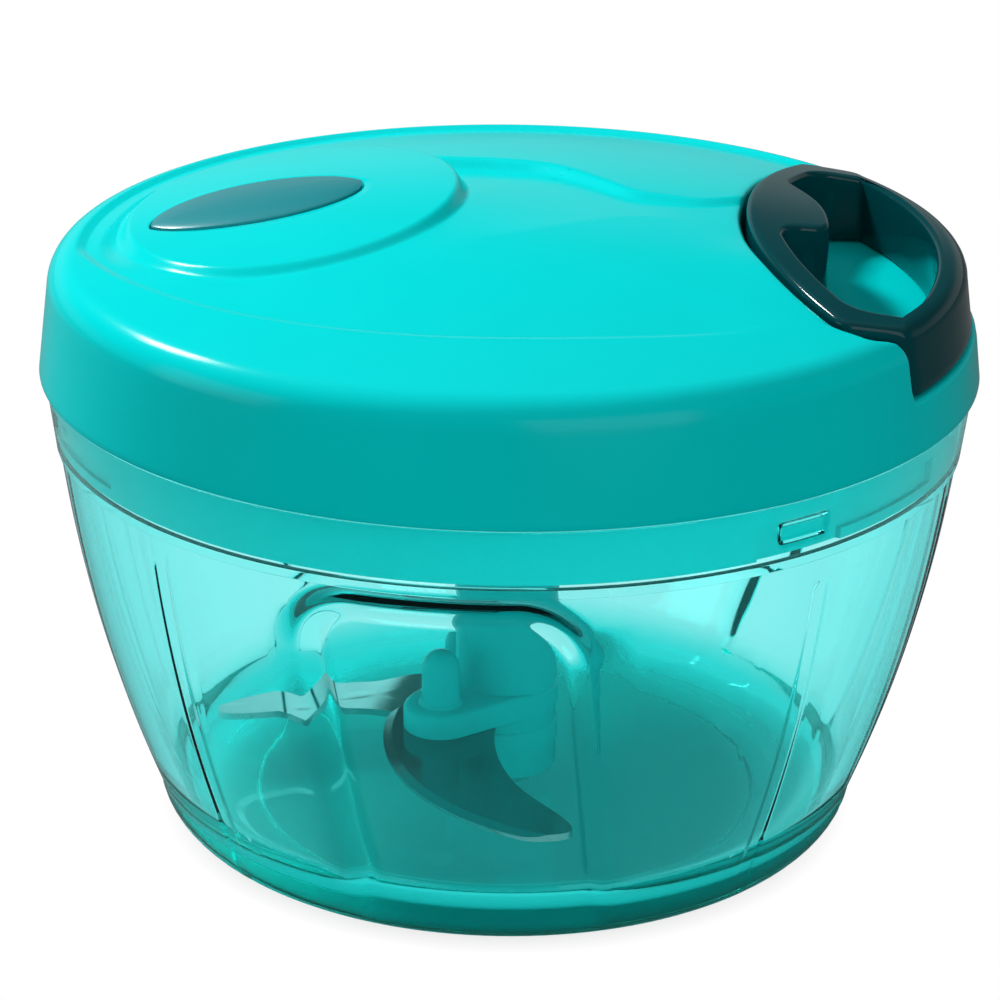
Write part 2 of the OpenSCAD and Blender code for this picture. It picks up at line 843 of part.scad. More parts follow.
module cord_reel() {
    color(reel_white)
    difference() {
        union() {
            post(0, 0, drum_r, reel_z, reel_top);
            post(0, 0, reel_r, groove_z - flange_t, groove_z);
            post(0, 0, reel_r, groove_top, reel_top);
        }
        post(0, 0, drum_in, web_top, reel_top + over);
        post(0, 0, drum_in + cap_rebate, cap_z, reel_top + over);
        post(0, 0, pin_r + run_gap, reel_z - over, web_top + over);
        at_coupling_screws()
            post(0, 0, small_screw_r + seat_gap, reel_z - over, web_top + over);
    }
}

module reel_cap() {
    color(reel_white)
        hoop(drum_in + cap_rebate - seat_gap, arbor_r + reel_gap, cap_z, reel_top);
}

// Flat spiral from a tab in the arbor's slot out to the drum
module recoil_spring() {
    steps = spring_steps * spring_turns;
    spread = spring_out - spring_t - spring_in;
    strip = [for (i = [0 : steps])
        let (a = 360 * i / spring_steps) [spring_in + spread * i / steps, [cos(a), sin(a)]]];
    inner = [for (s = strip) s[0] * s[1]];
    outer = [for (i = [steps : -1 : 0]) (strip[i][0] + spring_t) * strip[i][1]];
    tab_x = arbor_r - spring_tab;
    tab = [[spring_in + spring_t, -spring_t], [tab_x, -spring_t], [tab_x, 0]];
    color(steel)
    translate([0, 0, web_top + over])
        linear_extrude(height = spring_h)
            polygon(concat(tab, inner, outer));
}

// Places of the screws between coupling and reel
module at_coupling_screws() {
    for (i = [0 : fold - 1])
        rotate([0, 0, i * fold_step])
            translate([coupling_screw_at, 0, 0])
                children();
}

// Dogs between a core and an outer radius
module dogs(r_out, r_in, turn, z0, z1) {
    for (i = [0 : fold - 1])
        rotate([0, 0, turn + i * fold_step])
            intersection() {
                hoop(r_out, r_in, z0, z1);
                wedge(2 * r_out, -dog_angle / 2, dog_angle / 2, z0, z1);
            }
}

module drive_coupling() {
    color(dark_teal)
    difference() {
        union() {
            post(0, 0, hub_r, skirt_z, flange_top);
            post(0, 0, coupling_r, flange_z, flange_top);
        }
        post(0, 0, cavity_r, cavity_z, flange_top + over);
        difference() {
            post(0, 0, socket_r, skirt_z - over, socket_top);
            dogs(socket_r + over, dog_core + dog_play, fold_step / 2, skirt_z, socket_top);
        }
        at_coupling_screws()
            post(0, 0, small_screw_r + seat_gap, flange_z - over, flange_top + over);
    }
}

module coupling_screws() {
    color(steel)
    at_coupling_screws()
        screw(0, 0, small_screw_r, flange_z - seat_gap, coupling_t + web_t);
}

module cord_winding() {
    color(cord_white)
        tube(wind_points, cord_d / 2, wind_sides);
}

module cord_lead() {
    color(cord_white)
        tube([for (p = lead_route) [p[0], p[1], cord_z]], cord_d / 2, lead_sides);
}

module cord_knot() {
    color(cord_white)
    difference() {
        translate([knot_x, 0, cord_z])
            sphere(r = knot_r);
        along_cord(lead_end[0] - knot_r, lead_end[0], knot_r);
    }
}

// Opening inside the handle's ring, around the cord boss
module ring_opening() {
    root = handle_x + handle_wall - over;
    translate([0, 0, notch_z])
        linear_extrude(height = lid_h)
            difference() {
                intersection() {
                    translate([handle_cx, 0])
                        circle(r = handle_arc - handle_wall);
                    circle(r = ring_out);
                }
                polygon([[root, -boss_root], [knot_x, -boss_w], [knot_x, boss_w], [root, boss_root]]);
                translate([knot_x, 0])
                    circle(r = boss_w);
            }
}

module pull_handle() {
    color(dark_teal)
    difference() {
        intersection() {
            lid_solid(handle_z, handle_inset, -handle_proud);
            post(handle_cx, 0, handle_arc, handle_z, crown_z + lid_h);
        }
        ring_opening();
        along_cord(handle_x - over, knot_x, cord_bore);
        post(knot_x, 0, knot_r + knot_room, handle_z - over, cord_z + knot_r + knot_room);
    }
}

// Lobe on the column with its upright peg, over a blade whose upper face is at z
module blade_lobe(turn, z) {
    reach = norm(lobe_at);
    side = acos((column_r - lobe_r) / reach);
    out = [1, 0];
    left = [cos(side), sin(side)];
    right = [cos(side), -sin(side)];
    rotate([0, 0, turn + atan2(lobe_at[1], lobe_at[0])]) {
        translate([0, 0, z])
            linear_extrude(height = lobe_t)
                polygon([column_r * left, column_r * right,
                    reach * out + lobe_r * right, reach * out + lobe_r * left]);
        post(reach, 0, lobe_r, z, z + lobe_t);
        post(reach, 0, peg_r, z, z + lobe_t + peg_h - peg_r);
        translate([reach, 0, z + lobe_t + peg_h - peg_r])
            sphere(r = peg_r);
    }
}

// Hole in a lobe for the screw that holds its blade
module blade_screw_hole(turn, z) {
    rotate([0, 0, turn])
        post(lobe_at[0], lobe_at[1], small_screw_r + seat_gap, z - over, z + blade_screw_l + over);
}

module blade_spindle() {
    color(turquoise)
    difference() {
        union() {
            post(0, 0, column_r, column_z, column_top);
            post(0, 0, dog_core, column_top - over, dog_top);
            dogs(dog_r, dog_core - over, 0, column_top - over, dog_top);
            blade_lobe(upper_blade_turn, upper_z + blade_t + seat_gap);
            blade_lobe(lower_blade_turn, lower_z + blade_t + seat_gap);
        }
        post(0, 0, pivot_r + run_gap, column_z - over, pivot_z + slide_gap);
        blade_screw_hole(upper_blade_turn, upper_z + blade_t);
        blade_screw_hole(lower_blade_turn, lower_z + blade_t);
    }
}

// Crescent blade, tip along +X, with a hole for its screw and a hollow for the column
module blade(turn, z) {
    rotate([0, 0, turn])
        translate([0, 0, z])
            linear_extrude(height = blade_t)
                difference() {
                    intersection() {
                        translate(edge_at)
                            circle(r = edge_r);
                        translate(heel_at)
                            circle(r = heel_r);
                        circle(r = blade_reach);
                    }
                    translate(back_at)
                        circle(r = back_r);
                    circle(r = column_r + seat_gap);
                    translate(lobe_at)
                        circle(r = small_screw_r + seat_gap);
                }
}

module upper_blade() {
    color(steel)
        blade(upper_blade_turn, upper_z);
}

module lower_blade() {
    color(steel)
        blade(lower_blade_turn, lower_z);
}

module blade_screws() {
    color(steel)
    for (b = [[upper_blade_turn, upper_z], [lower_blade_turn, lower_z]])
        rotate([0, 0, b[0]])
            screw(lobe_at[0], lobe_at[1], small_screw_r, b[1] - seat_gap, blade_t + blade_screw_l);
}

bowl();
pivot_pin();
seal_ring();
lid_cover();
lid_base();
leaf_inlay();
cord_eyelet();
lid_screws();
axle_washer();
axle_screw();
cord_reel();
reel_cap();
recoil_spring();
drive_coupling();
coupling_screws();
cord_winding();
cord_lead();
cord_knot();
pull_handle();
blade_spindle();
upper_blade();
lower_blade();
blade_screws();
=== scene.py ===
"""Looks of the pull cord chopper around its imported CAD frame: a clear teal bowl, a moulded lid with a shallow
relief, a glossy handle, polished blades on their spindle, the cord, and the studio around them."""

import bmesh
import bpy
import numpy as np
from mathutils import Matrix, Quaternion, Vector


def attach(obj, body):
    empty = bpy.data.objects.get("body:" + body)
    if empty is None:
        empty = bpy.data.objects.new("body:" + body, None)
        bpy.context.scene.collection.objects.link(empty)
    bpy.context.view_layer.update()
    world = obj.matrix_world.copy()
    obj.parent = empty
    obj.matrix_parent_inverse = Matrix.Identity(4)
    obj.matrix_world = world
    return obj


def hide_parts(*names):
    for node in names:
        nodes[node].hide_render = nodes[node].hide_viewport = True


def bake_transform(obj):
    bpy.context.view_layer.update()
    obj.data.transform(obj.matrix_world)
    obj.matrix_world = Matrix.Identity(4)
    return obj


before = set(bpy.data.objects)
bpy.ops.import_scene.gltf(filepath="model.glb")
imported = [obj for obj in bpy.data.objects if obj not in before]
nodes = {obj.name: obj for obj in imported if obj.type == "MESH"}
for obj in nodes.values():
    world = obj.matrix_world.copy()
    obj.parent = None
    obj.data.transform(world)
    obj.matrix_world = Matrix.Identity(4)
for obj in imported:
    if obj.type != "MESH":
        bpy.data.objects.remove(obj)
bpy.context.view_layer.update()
MM = 0.001

# Sizes in millimetres. Most are those of the part's source; the notch, handle, badge, grooves and the tops of the
# thumb panels follow the photograph more closely.
FOLD = 3
RIM_Z, RIM_R, COLLAR_IN, COLLAR_Z, COLLAR_LOW_R = 66.6, 64.4, 62.0, 57.0, 63.2
LEDGE_Z, WALL_TOP_R, BOWL_WALL, FLOOR_Z = 58.0, 62.8, 2.4, 3.0
FOOT_R, FOOT_OUT, FOOT_RISE, HOLLOW_R, HOLLOW_Z = 44.0, 50.2, 6.4, 36.0, 0.8
WALL_ARC, FILLET_R, FILLET_Z = 200.0, 37.4, 11.0
PANEL_AZ, PANEL_LOW_Z, PANEL_TOP_Z, PANEL_DEPTH, PANEL_ROUND = -93.0, 3.6, 53.6, 1.4, 7.5
PANEL_LOW, PANEL_TOP, PANEL_LEAN = 15.6, 17.4, 5.0
PANEL_TOP_STEP, PANEL_SIDE_STEPS, PANEL_IN_STEP = 3.5, (4.5, 4.0), 4.5
GROOVE_AZ, GROOVE_HALF, GROOVE_DEPTH, GROOVE_FLAT, GROOVE_FLANK = 43.4, 1.4, 0.135, 0.9, 0.6
LUG_AZ, LUG_HALF, LUG_LOW, LUG_HIGH, LUG_DEPTH, LUG_EDGE = -53.0, 3.75, 60.6, 63.2, 1.2, 0.7
BOSS_R, BOSS_Z, PIN_R, PIN_Z = 4.0, 4.7, 2.0, 2.7
LID_R, LID_Z, LID_WALL, DRAFT = 65.2, 67.0, 2.2, 7.0
DOME_R, CROWN_Z, SHOULDER_R = 323.0, 89.0, 4.6
SEAL_R, SEAL_TOP = 64.1, 68.25
NOTCH_C, NOTCH_R, NOTCH_HALF, NOTCH_ROUND, NOTCH_Z = np.array([103.7, 0.0]), 72.0, 37.2, 3.5, 74.0
FLARE_DEGREES, FLARE_R, FLARE_RUN = 1.6, 60.2, 2.0
LEAF_C, LEAF_ANGLE, LEAF_HALF, LEAF_ARC, LEAF_T = np.array([-35.0, 4.8]), 25.6, 9.4, 21.0, 1.2
LEAF_TIPS, LEAF_GAP, LEAF_RISE = (17.4, 16.6), 0.3, 1.1
OVAL_C, OVAL_ANGLE, OVAL_A, OVAL_B, OVAL_H = np.array([-30.3, 7.6]), 80.0, 30.7, 23.2, 0.42
HANDLE_Z, HANDLE_GAP, HANDLE_SIDE, HANDLE_INSET, HANDLE_PROUD = 74.3, 0.8, 35.6, 0.6, 0.6
HANDLE_SHELF_Z, HANDLE_LIP, HANDLE_EDGES, HANDLE_FOOT = 82.0, 0.8, (0.9, 2.8), 0.45
OPEN_C, OPEN_R, OPEN_HALF, OPEN_ROUND = np.array([103.1, 0.0]), 66.5, 31.2, 5.0
OPEN_OUT_C, OPEN_OUT_R = np.array([-13.7, 0.0]), 72.1
CORD_R, CORD_Z, WIND_R, LEAD_AZ, CORD_TURNS, TURN_PITCH = 0.95, 78.65, 23.85, 32.0, 2.5, 2.4
KNOT_X, KNOT_SIZE, KNOT_CORD_R = 39.9, 0.36, 0.62


def smooth(t):
    """Smooth step: 3t^2 - 2t^3 from 0 to 1, level outside."""
    t = np.clip(t, 0, 1)
    return t * t * (3 - 2 * t)


def stops(places, counts):
    """Numbers from place to place with counts[i] even steps in the i-th run; places may be arrays."""
    runs = [np.linspace(a, b, n, endpoint=False) for a, b, n in zip(places, places[1:], counts)]
    return np.concatenate(runs + [np.asarray(places[-1], float)[None]])


def bearing(x, y):
    """Angle of a direction in degrees."""
    return np.degrees(np.arctan2(y, x))


def turn(r, degrees):
    """Points at radius r and an angle, along a last axis of two."""
    a = np.radians(degrees)
    return np.stack(np.broadcast_arrays(r * np.cos(a), r * np.sin(a)), -1)


def through(knots, n=8):
    """Smooth line through the knots: Catmull-Rom cubics with n steps to a span."""
    k = np.asarray(knots, float)
    k = np.vstack([2 * k[0] - k[1], k, 2 * k[-1] - k[-2]])
    t = np.linspace(0, 1, n, endpoint=False)[:, None]
    spans = [b + (c - a) * t / 2 + (a - 2.5 * b + 2 * c - d / 2) * t**2 + (3 * b - a - 3 * c + d) * t**3 / 2
             for a, b, c, d in zip(k, k[1:], k[2:], k[3:])]
    return np.vstack(spans + [k[-2:-1]])


def beside(x, y, line):
    """Distance of points from a line of short segments, positive on the left of its direction."""
    p = np.stack([x, y], -1).reshape(-1, 1, 2)
    start, along = line[:-1], np.diff(line, axis=0)
    t = np.clip(((p - start) * along).sum(-1) / (along**2).sum(-1), 0, 1)
    off = p - start - t[..., None] * along
    gap = np.hypot(off[..., 0], off[..., 1])
    at = (np.arange(len(p)), gap.argmin(1))
    run, side = along[at[1]], off[at]
    return (np.sign(run[:, 0] * side[:, 1] - run[:, 1] * side[:, 0]) * gap[at]).reshape(x.shape)


def eased(path, reach, n=5):
    """A path whose sharp corners are cut back by reach on both sides and bridged by parabolas."""
    path = np.asarray(path, float)
    out = [path[:1]]
    for a, b, c in zip(path, path[1:], path[2:]):
        to, on = b - a, c - b
        lengths = np.hypot(*to), np.hypot(*on)
        if to @ on > 0.94 * lengths[0] * lengths[1]:
            out.append(b[None])
            continue
        cut = min(reach, 0.45 * min(lengths))
        t = np.linspace(0, 1, n)[:, None]
        first, last = b - to / lengths[0] * cut, b + on / lengths[1] * cut
        out.append((1 - t)**2 * first + 2 * t * (1 - t) * b + t**2 * last)
    return np.vstack(out + [path[-1:]])


def arc(c, r, a0, a1, n):
    """n points of the circle of radius r about c from angle a0 to a1."""
    return np.asarray(c) + turn(r, np.linspace(a0, a1, n))


def linear(code, alpha=1.0):
    """Linear colour of an sRGB hex code."""
    c = np.array([int(code[i:i + 2], 16) for i in (1, 3, 5)]) / 255
    return (*np.where(c <= 0.04045, c / 12.92, ((c + 0.055) / 1.055)**2.4), alpha)


def add(tree, kind, inputs=None, **settings):
    """Adds a node, gives it its settings, and sets or links its inputs."""
    node = tree.nodes.new(kind)
    for key, value in settings.items():
        setattr(node, key, value)
    for key, value in (inputs or {}).items():
        if isinstance(value, bpy.types.NodeSocket):
            tree.links.new(value, node.inputs[key])
        else:
            node.inputs[key].default_value = value
    return node


def finish(name, **sockets):
    """Material with one Principled shader; gives the material, its tree and the shader."""
    material = bpy.data.materials.new(name)
    material.use_nodes = True
    shader = material.node_tree.nodes["Principled BSDF"]
    for key, value in sockets.items():
        shader.inputs[key.replace("_", " ")].default_value = value
    return material, material.node_tree, shader


def grain(tree, shader, scale, low, high, rough, height, stretch=(1, 1, 1)):
    """Colour from low to high, roughness over a range and a bump, all from one noise of the object's own place.
    scale is in spots per metre, height in metres."""
    place = add(tree, "ShaderNodeTexCoord").outputs["Object"]
    place = add(tree, "ShaderNodeMapping", {"Vector": place, "Scale": stretch}).outputs["Vector"]
    noise = add(tree, "ShaderNodeTexNoise", {"Vector": place, "Scale": scale, "Detail": 4.0}).outputs["Fac"]
    tint = add(tree, "ShaderNodeMix", {"Factor": noise, "A": low, "B": high}, data_type="RGBA")
    tree.links.new(tint.outputs["Result"], shader.inputs["Base Color"])
    gloss = add(tree, "ShaderNodeMapRange", {"Value": noise, "To Min": rough[0], "To Max": rough[1]})
    tree.links.new(gloss.outputs["Result"], shader.inputs["Roughness"])
    bump = add(tree, "ShaderNodeBump", {"Height": noise, "Distance": height, "Strength": 1.0})
    tree.links.new(bump.outputs["Normal"], shader.inputs["Normal"])
    return noise


def piece(name, grids, body, material, stands_for=(), sharp=35):
    """Mesh of grids of points in mm: each cell is a face, equal points are joined, and faces point outwards."""
    points, faces, start = [], [], 0
    for g in grids:
        rows, cols = g.shape[:2]
        at = start + np.arange(rows * cols).reshape(rows, cols)
        faces.append(np.stack([at[:-1, :-1], at[:-1, 1:], at[1:, 1:], at[1:, :-1]], -1).reshape(-1, 4))
        points.append(g.reshape(-1, 3) * MM)
        start += rows * cols
    mesh = bpy.data.meshes.new(name)
    mesh.from_pydata(np.concatenate(points).tolist(), [], np.concatenate(faces).tolist())
    shape = bmesh.new()
    shape.from_mesh(mesh)
    bmesh.ops.remove_doubles(shape, verts=shape.verts, dist=0.002 * MM)
    bmesh.ops.recalc_face_normals(shape, faces=shape.faces)
    shape.to_mesh(mesh)
    shape.free()
    mesh.shade_smooth()
    mesh.set_sharp_from_angle(angle=np.radians(sharp))
    mesh.materials.append(material)
    thing = bpy.data.objects.new(name, mesh)
    bpy.context.scene.collection.objects.link(thing)
    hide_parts(*stands_for)
    if body:
        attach(thing, body)
    return thing


def place3(xy, z):
    """Points from plan places and heights."""
    return np.concatenate([xy, np.broadcast_to(z, xy.shape[:-1])[..., None]], -1)


def revolve(profile, columns=97):
    """Surface of a profile (radius, height) turned about the axis."""
    profile = np.asarray(profile, float)
    return place3(turn(profile[:, :1], np.linspace(0, 360, columns)[None]), profile[:, 1:])


def flat_turn(grid, angle):
    """A grid turned about the axis."""
    t = np.radians(angle)
    return grid @ np.array([[np.cos(t), np.sin(t), 0], [-np.sin(t), np.cos(t), 0], [0, 0, 1]])


def tube(line, r, sides=16):
    """Round tube along a line of points, closed at both ends."""
    line = np.asarray(line, float)
    ahead = np.gradient(line, axis=0)
    ahead /= np.linalg.norm(ahead, axis=1)[:, None]
    across = np.cross(ahead, (0.1, 0.2, 1.0))
    across /= np.linalg.norm(across, axis=1)[:, None]
    over = np.cross(across, ahead)
    a = np.radians(np.linspace(0, 360, sides + 1))[None, :, None]
    wall = line[:, None] + r * (np.cos(a) * across[:, None] + np.sin(a) * over[:, None])
    ends = [np.broadcast_to(p, (1, sides + 1, 3)) for p in (line[0], line[-1])]
    return np.concatenate([ends[0], wall, ends[1]])


# Camera at the photograph's angle, 0.5 m from the middle of the chopper
TARGET = Vector((0, 0, 0.0452))
VIEW_TILT, VIEW_DISTANCE, VIEW_ROLL = np.radians(21.8), 0.5, np.radians(-0.6)
camera = bpy.data.objects.new("camera", bpy.data.cameras.new("camera"))
bpy.context.scene.collection.objects.link(camera)
bpy.context.scene.camera = camera
camera.location = TARGET + VIEW_DISTANCE * Vector((0, -np.cos(VIEW_TILT), np.sin(VIEW_TILT)))
ahead = (TARGET - camera.location).normalized()
camera.rotation_mode = "QUATERNION"
camera.rotation_quaternion = Quaternion(ahead, VIEW_ROLL) @ ahead.to_track_quat("-Z", "Y")
camera.data.sensor_width, camera.data.lens, camera.data.shift_x = 36.0, 126.8, -0.008

# Braided polyester cord: matt, off white, with the slant of its braid as a bump of about 0.45 mm
cord_finish, tree, shader = finish("polyester_braid", Roughness=0.8)
grain(tree, shader, 2200, linear("#D9D8CE"), linear("#F1F0E8"), (0.7, 0.9), 0.00008, (1, 1, 0.4))

# Turquoise ABS, moulded glossy: even colour, flow clouds of about 17 mm and a soft highlight
abs_finish, tree, shader = finish("turquoise_abs", IOR=1.53, Specular_IOR_Level=0.05)
grain(tree, shader, 60, linear("#00D0D0"), linear("#00D6D6"), (0.14, 0.18), 0.00002)

# Turquoise ABS of the spindle, the lid's plastic painted deeper as the shade under the lid: moulded, even, and a
# little duller than the lid
spindle_shaded_finish, tree, shader = finish("turquoise_abs_painted_shade", IOR=1.53, Specular_IOR_Level=0.05)
grain(tree, shader, 60, linear("#00A8AA"), linear("#00AFB1"), (0.18, 0.24), 0.00002)

# Dark teal ABS, moulded with a high gloss that shows the room, with flow clouds of about 12 mm
dark_finish, tree, shader = finish("dark_teal_abs", IOR=1.53, Specular_IOR_Level=0.12)
grain(tree, shader, 80, linear("#003C41"), linear("#004449"), (0.1, 0.14), 0.00001)

# Satin ABS of the badge: fine spark-eroded grain, drawn about 0.3 mm wide so that it shows
badge_finish, tree, shader = finish("satin_teal_abs", IOR=1.53)
grain(tree, shader, 3000, linear("#14848D"), linear("#1A8E97"), (0.26, 0.32), 0.00002)

# Silicone rubber of the seal, moulded: dull, a little dusty, in spots of about 2.5 mm
seal_finish, tree, shader = finish("silicone_rubber", IOR=1.41)
grain(tree, shader, 400, linear("#12474A"), linear("#1B5558"), (0.5, 0.7), 0.00003)

# Natural acetal of the reel, moulded: waxy white, with clouds of about 8 mm
reel_finish, tree, shader = finish("acetal", IOR=1.48)
grain(tree, shader, 120, linear("#DDE0DC"), linear("#E8EAE6"), (0.35, 0.45), 0.00002)


def blade_steel(name, low, high, ground):
    """Stainless steel blade, rolled and polished: near mirror, with hair lines along it, drawn about 1 mm wide so
    that they show, and a duller ground band, told by its slope."""
    made, tree, shader = finish(name, Metallic=1.0)
    grain(tree, shader, 900, linear(low), linear(high), (0.08, 0.16), 0.000004, (1, 0.06, 1))
    facing = add(tree, "ShaderNodeNewGeometry").outputs["True Normal"]
    up = add(tree, "ShaderNodeSeparateXYZ", {"Vector": facing}).outputs["Z"]
    band = add(tree, "ShaderNodeMapRange", {"Value": up, "From Min": 0.97, "From Max": 0.94}).outputs["Result"]
    polished = shader.inputs["Base Color"].links[0].from_socket
    tint = add(tree, "ShaderNodeMix", {"Factor": band, "A": polished, "B": linear(ground)}, data_type="RGBA")
    tree.links.new(tint.outputs["Result"], shader.inputs["Base Color"])
    return made


# The upper blade lies in the lid's shade, and its steel is painted darker as that shade; the lower one has the
# steel's own bright colour
BLADE_STEEL = {"upper_blade": blade_steel("stainless_painted_shade", "#747D7D", "#868E8E", "#949C9C"),
               "lower_blade": blade_steel("mirror_stainless", "#D2D6D6", "#E2E5E5", "#C8CDCD")}

# Spring steel strip: rolled, greyer, with lines of about 0.7 mm along the strip
spring_finish, tree, shader = finish("spring_steel", Metallic=1.0)
grain(tree, shader, 1500, linear("#8F959A"), linear("#A5ABAF"), (0.25, 0.4), 0.000006, (1, 1, 0.1))

# Zinc plated steel of the screws: pale grey with a soft shine, its spangle about 0.8 mm wide
screw_finish, tree, shader = finish("zinc_plated_steel", Metallic=1.0)
grain(tree, shader, 1200, linear("#A9ADB0"), linear("#C0C4C6"), (0.25, 0.4), 0.000008)

# Clear tinted acrylic, moulded: glass clear, teal from the depth of plastic that light crosses, densest in the thick
# foot, with a frosted underside as the mould leaves it; both ranges are heights in mm
FROST_Z, DENSE_Z = (1.0, 2.0), (3.0, 10.0)
bowl_finish, tree, shader = finish("clear_teal_acrylic", IOR=1.49, Specular_Tint=linear("#8CFFFF"))
shader.inputs["Transmission Weight"].default_value = 1.0
place = add(tree, "ShaderNodeTexCoord").outputs["Object"]
height = add(tree, "ShaderNodeSeparateXYZ", {"Vector": place}).outputs["Z"]
frost = add(tree, "ShaderNodeMapRange", {"Value": height, "From Min": FROST_Z[0] * MM, "From Max": FROST_Z[1] * MM,
                                         "To Min": 0.75, "To Max": 0.015})
tree.links.new(frost.outputs["Result"], shader.inputs["Roughness"])
thin = add(tree, "ShaderNodeMapRange", {"Value": height, "From Min": DENSE_Z[0] * MM, "From Max": DENSE_Z[1] * MM})
tint = add(tree, "ShaderNodeMix", {"Factor": thin.outputs["Result"], "A": linear("#58E2E0"), "B": linear("#FFFFFF")},
           data_type="RGBA")
tree.links.new(tint.outputs["Result"], shader.inputs["Base Color"])
lamp_ray = add(tree, "ShaderNodeLightPath").outputs["Is Shadow Ray"]
clear = add(tree, "ShaderNodeBsdfTransparent", {"Color": linear("#A2E6E2")})
mixed = add(tree, "ShaderNodeMixShader", {"Fac": lamp_ray, 1: shader.outputs["BSDF"], 2: clear.outputs["BSDF"]})
output = tree.nodes["Material Output"]
tree.links.new(mixed.outputs["Shader"], output.inputs["Surface"])
depth = add(tree, "ShaderNodeVolumeAbsorption", {"Color": linear("#00F8F7"), "Density": 260.0})
tree.links.new(depth.outputs["Volume"], output.inputs["Volume"])


# The bowl: a closed profile turned about the axis, pushed in at the thumb panels, grooves and lugs
half_chord = np.array([WALL_TOP_R - FOOT_OUT, COLLAR_Z - FOOT_RISE]) / 2
wall_up = half_chord / np.hypot(*half_chord)
wall_c = (np.array([FOOT_OUT, FOOT_RISE]) + half_chord
          + np.sqrt(WALL_ARC**2 - half_chord @ half_chord) * np.array([-wall_up[1], wall_up[0]]))


def wall_line(z, inset):
    """Profile points of the bowl's wall at heights z: an arc of 200 mm, set in by a depth."""
    return np.stack([wall_c[0] + np.sqrt((WALL_ARC - inset)**2 - (z - wall_c[1])**2), z], -1)


def bulge(p, q, r, shares):
    """Points of the arc of radius r that bulges to the right from p to q, at shares of its angle."""
    p, q = np.asarray(p, float), np.asarray(q, float)
    d = np.hypot(*(q - p))
    u = (q - p) / d
    c = (p + q) / 2 + np.sqrt(r * r - d * d / 4) * np.array([-u[1], u[0]])
    a0, a1 = bearing(*(p - c)), bearing(*(q - c))
    return c + turn(r, a0 + (a1 - a0) * np.asarray(shares))


def bowl_profile():
    """Closed profile from under the foot up the outside, over the rim and down the inside, and how many of its
    rows are outside: the foot's ring, the corner and the wall as arcs, the drafted collar, a ledge, the floor and
    a boss with a hole for the pivot pin."""
    foot = eased([(0, HOLLOW_Z), (12, HOLLOW_Z), (24, HOLLOW_Z), (33, HOLLOW_Z), (HOLLOW_R, HOLLOW_Z),
                  (HOLLOW_R + 0.4, 0), (40, 0), (FOOT_R - 0.5, 0)], 0.3)
    corner_r = 0.74 * np.hypot(FOOT_OUT - FOOT_R, FOOT_RISE)
    corner = bulge((FOOT_R, 0), (FOOT_OUT, FOOT_RISE), corner_r, stops([0, 0.55, 0.88, 1], [7, 13, 4]))
    wall = wall_line(stops([FOOT_RISE, 9, 45, COLLAR_Z], [5, 24, 30]), 0)[1:]
    collar = eased([wall[-1], (COLLAR_LOW_R, COLLAR_Z), *np.linspace((COLLAR_LOW_R, COLLAR_Z), (RIM_R, RIM_Z), 8)[1:],
                    (COLLAR_IN, RIM_Z)], 0.35)[1:-1]
    lugs = np.stack([np.full(16, COLLAR_IN), stops([66, 63.7, 60.1, 58.6], [2, 11, 2])], -1)
    inner = wall_line(stops([LEDGE_Z, 45, 14, FILLET_Z], [32, 18, 3]), BOWL_WALL)
    low = np.array([FILLET_R, FLOOR_Z])
    chord = np.hypot(*(inner[-1] - low))
    inside = bulge(low, inner[-1], 0.9 * chord, np.linspace(1, 0, 14))[1:]
    ledge = eased([(COLLAR_IN, RIM_Z), *lugs, (COLLAR_IN, LEDGE_Z), inner[0], inner[1]], 0.25)[1:-1]
    floor = eased([(32, FLOOR_Z), (24, FLOOR_Z), (14, FLOOR_Z), (BOSS_R, FLOOR_Z), (BOSS_R, BOSS_Z),
                   (PIN_R + 0.03, BOSS_Z), (PIN_R + 0.03, PIN_Z), (0, PIN_Z)], 0.25)
    outside = np.vstack([foot, corner, wall, collar])
    return np.vstack([outside, ledge, inner[1:], inside, floor]), len(foot), len(outside)


def panel_gap(x, z):
    """Distance outside a thumb panel's outline, seen flat: two leaning sides, a level top with round corners,
    and a level foot."""
    climb = PANEL_TOP_Z - PANEL_ROUND - PANEL_LOW_Z
    gaps = []
    for side in (-1, 1):
        lean = (side * PANEL_TOP - PANEL_LEAN - side * PANEL_LOW) / climb
        out = side * (x - side * PANEL_LOW - lean * (z - PANEL_LOW_Z)) / np.hypot(1, lean)
        a, b = out + PANEL_ROUND, z - PANEL_TOP_Z + PANEL_ROUND
        gaps.append(np.minimum(np.maximum(a, b), 0) + np.hypot(np.maximum(a, 0), np.maximum(b, 0)) - PANEL_ROUND)
    return np.maximum(np.maximum(*gaps), PANEL_LOW_Z - z)


def panel_side(z, r, side):
    """Angle of a thumb panel's side from its middle at a height."""
    t = np.clip((z - PANEL_LOW_Z) / (PANEL_TOP_Z - PANEL_ROUND - PANEL_LOW_Z), 0, 1)
    x = side * PANEL_LOW + t * (side * (PANEL_TOP - PANEL_LOW) - PANEL_LEAN)
    return np.degrees(np.arcsin(x / np.maximum(r, FOOT_R)))


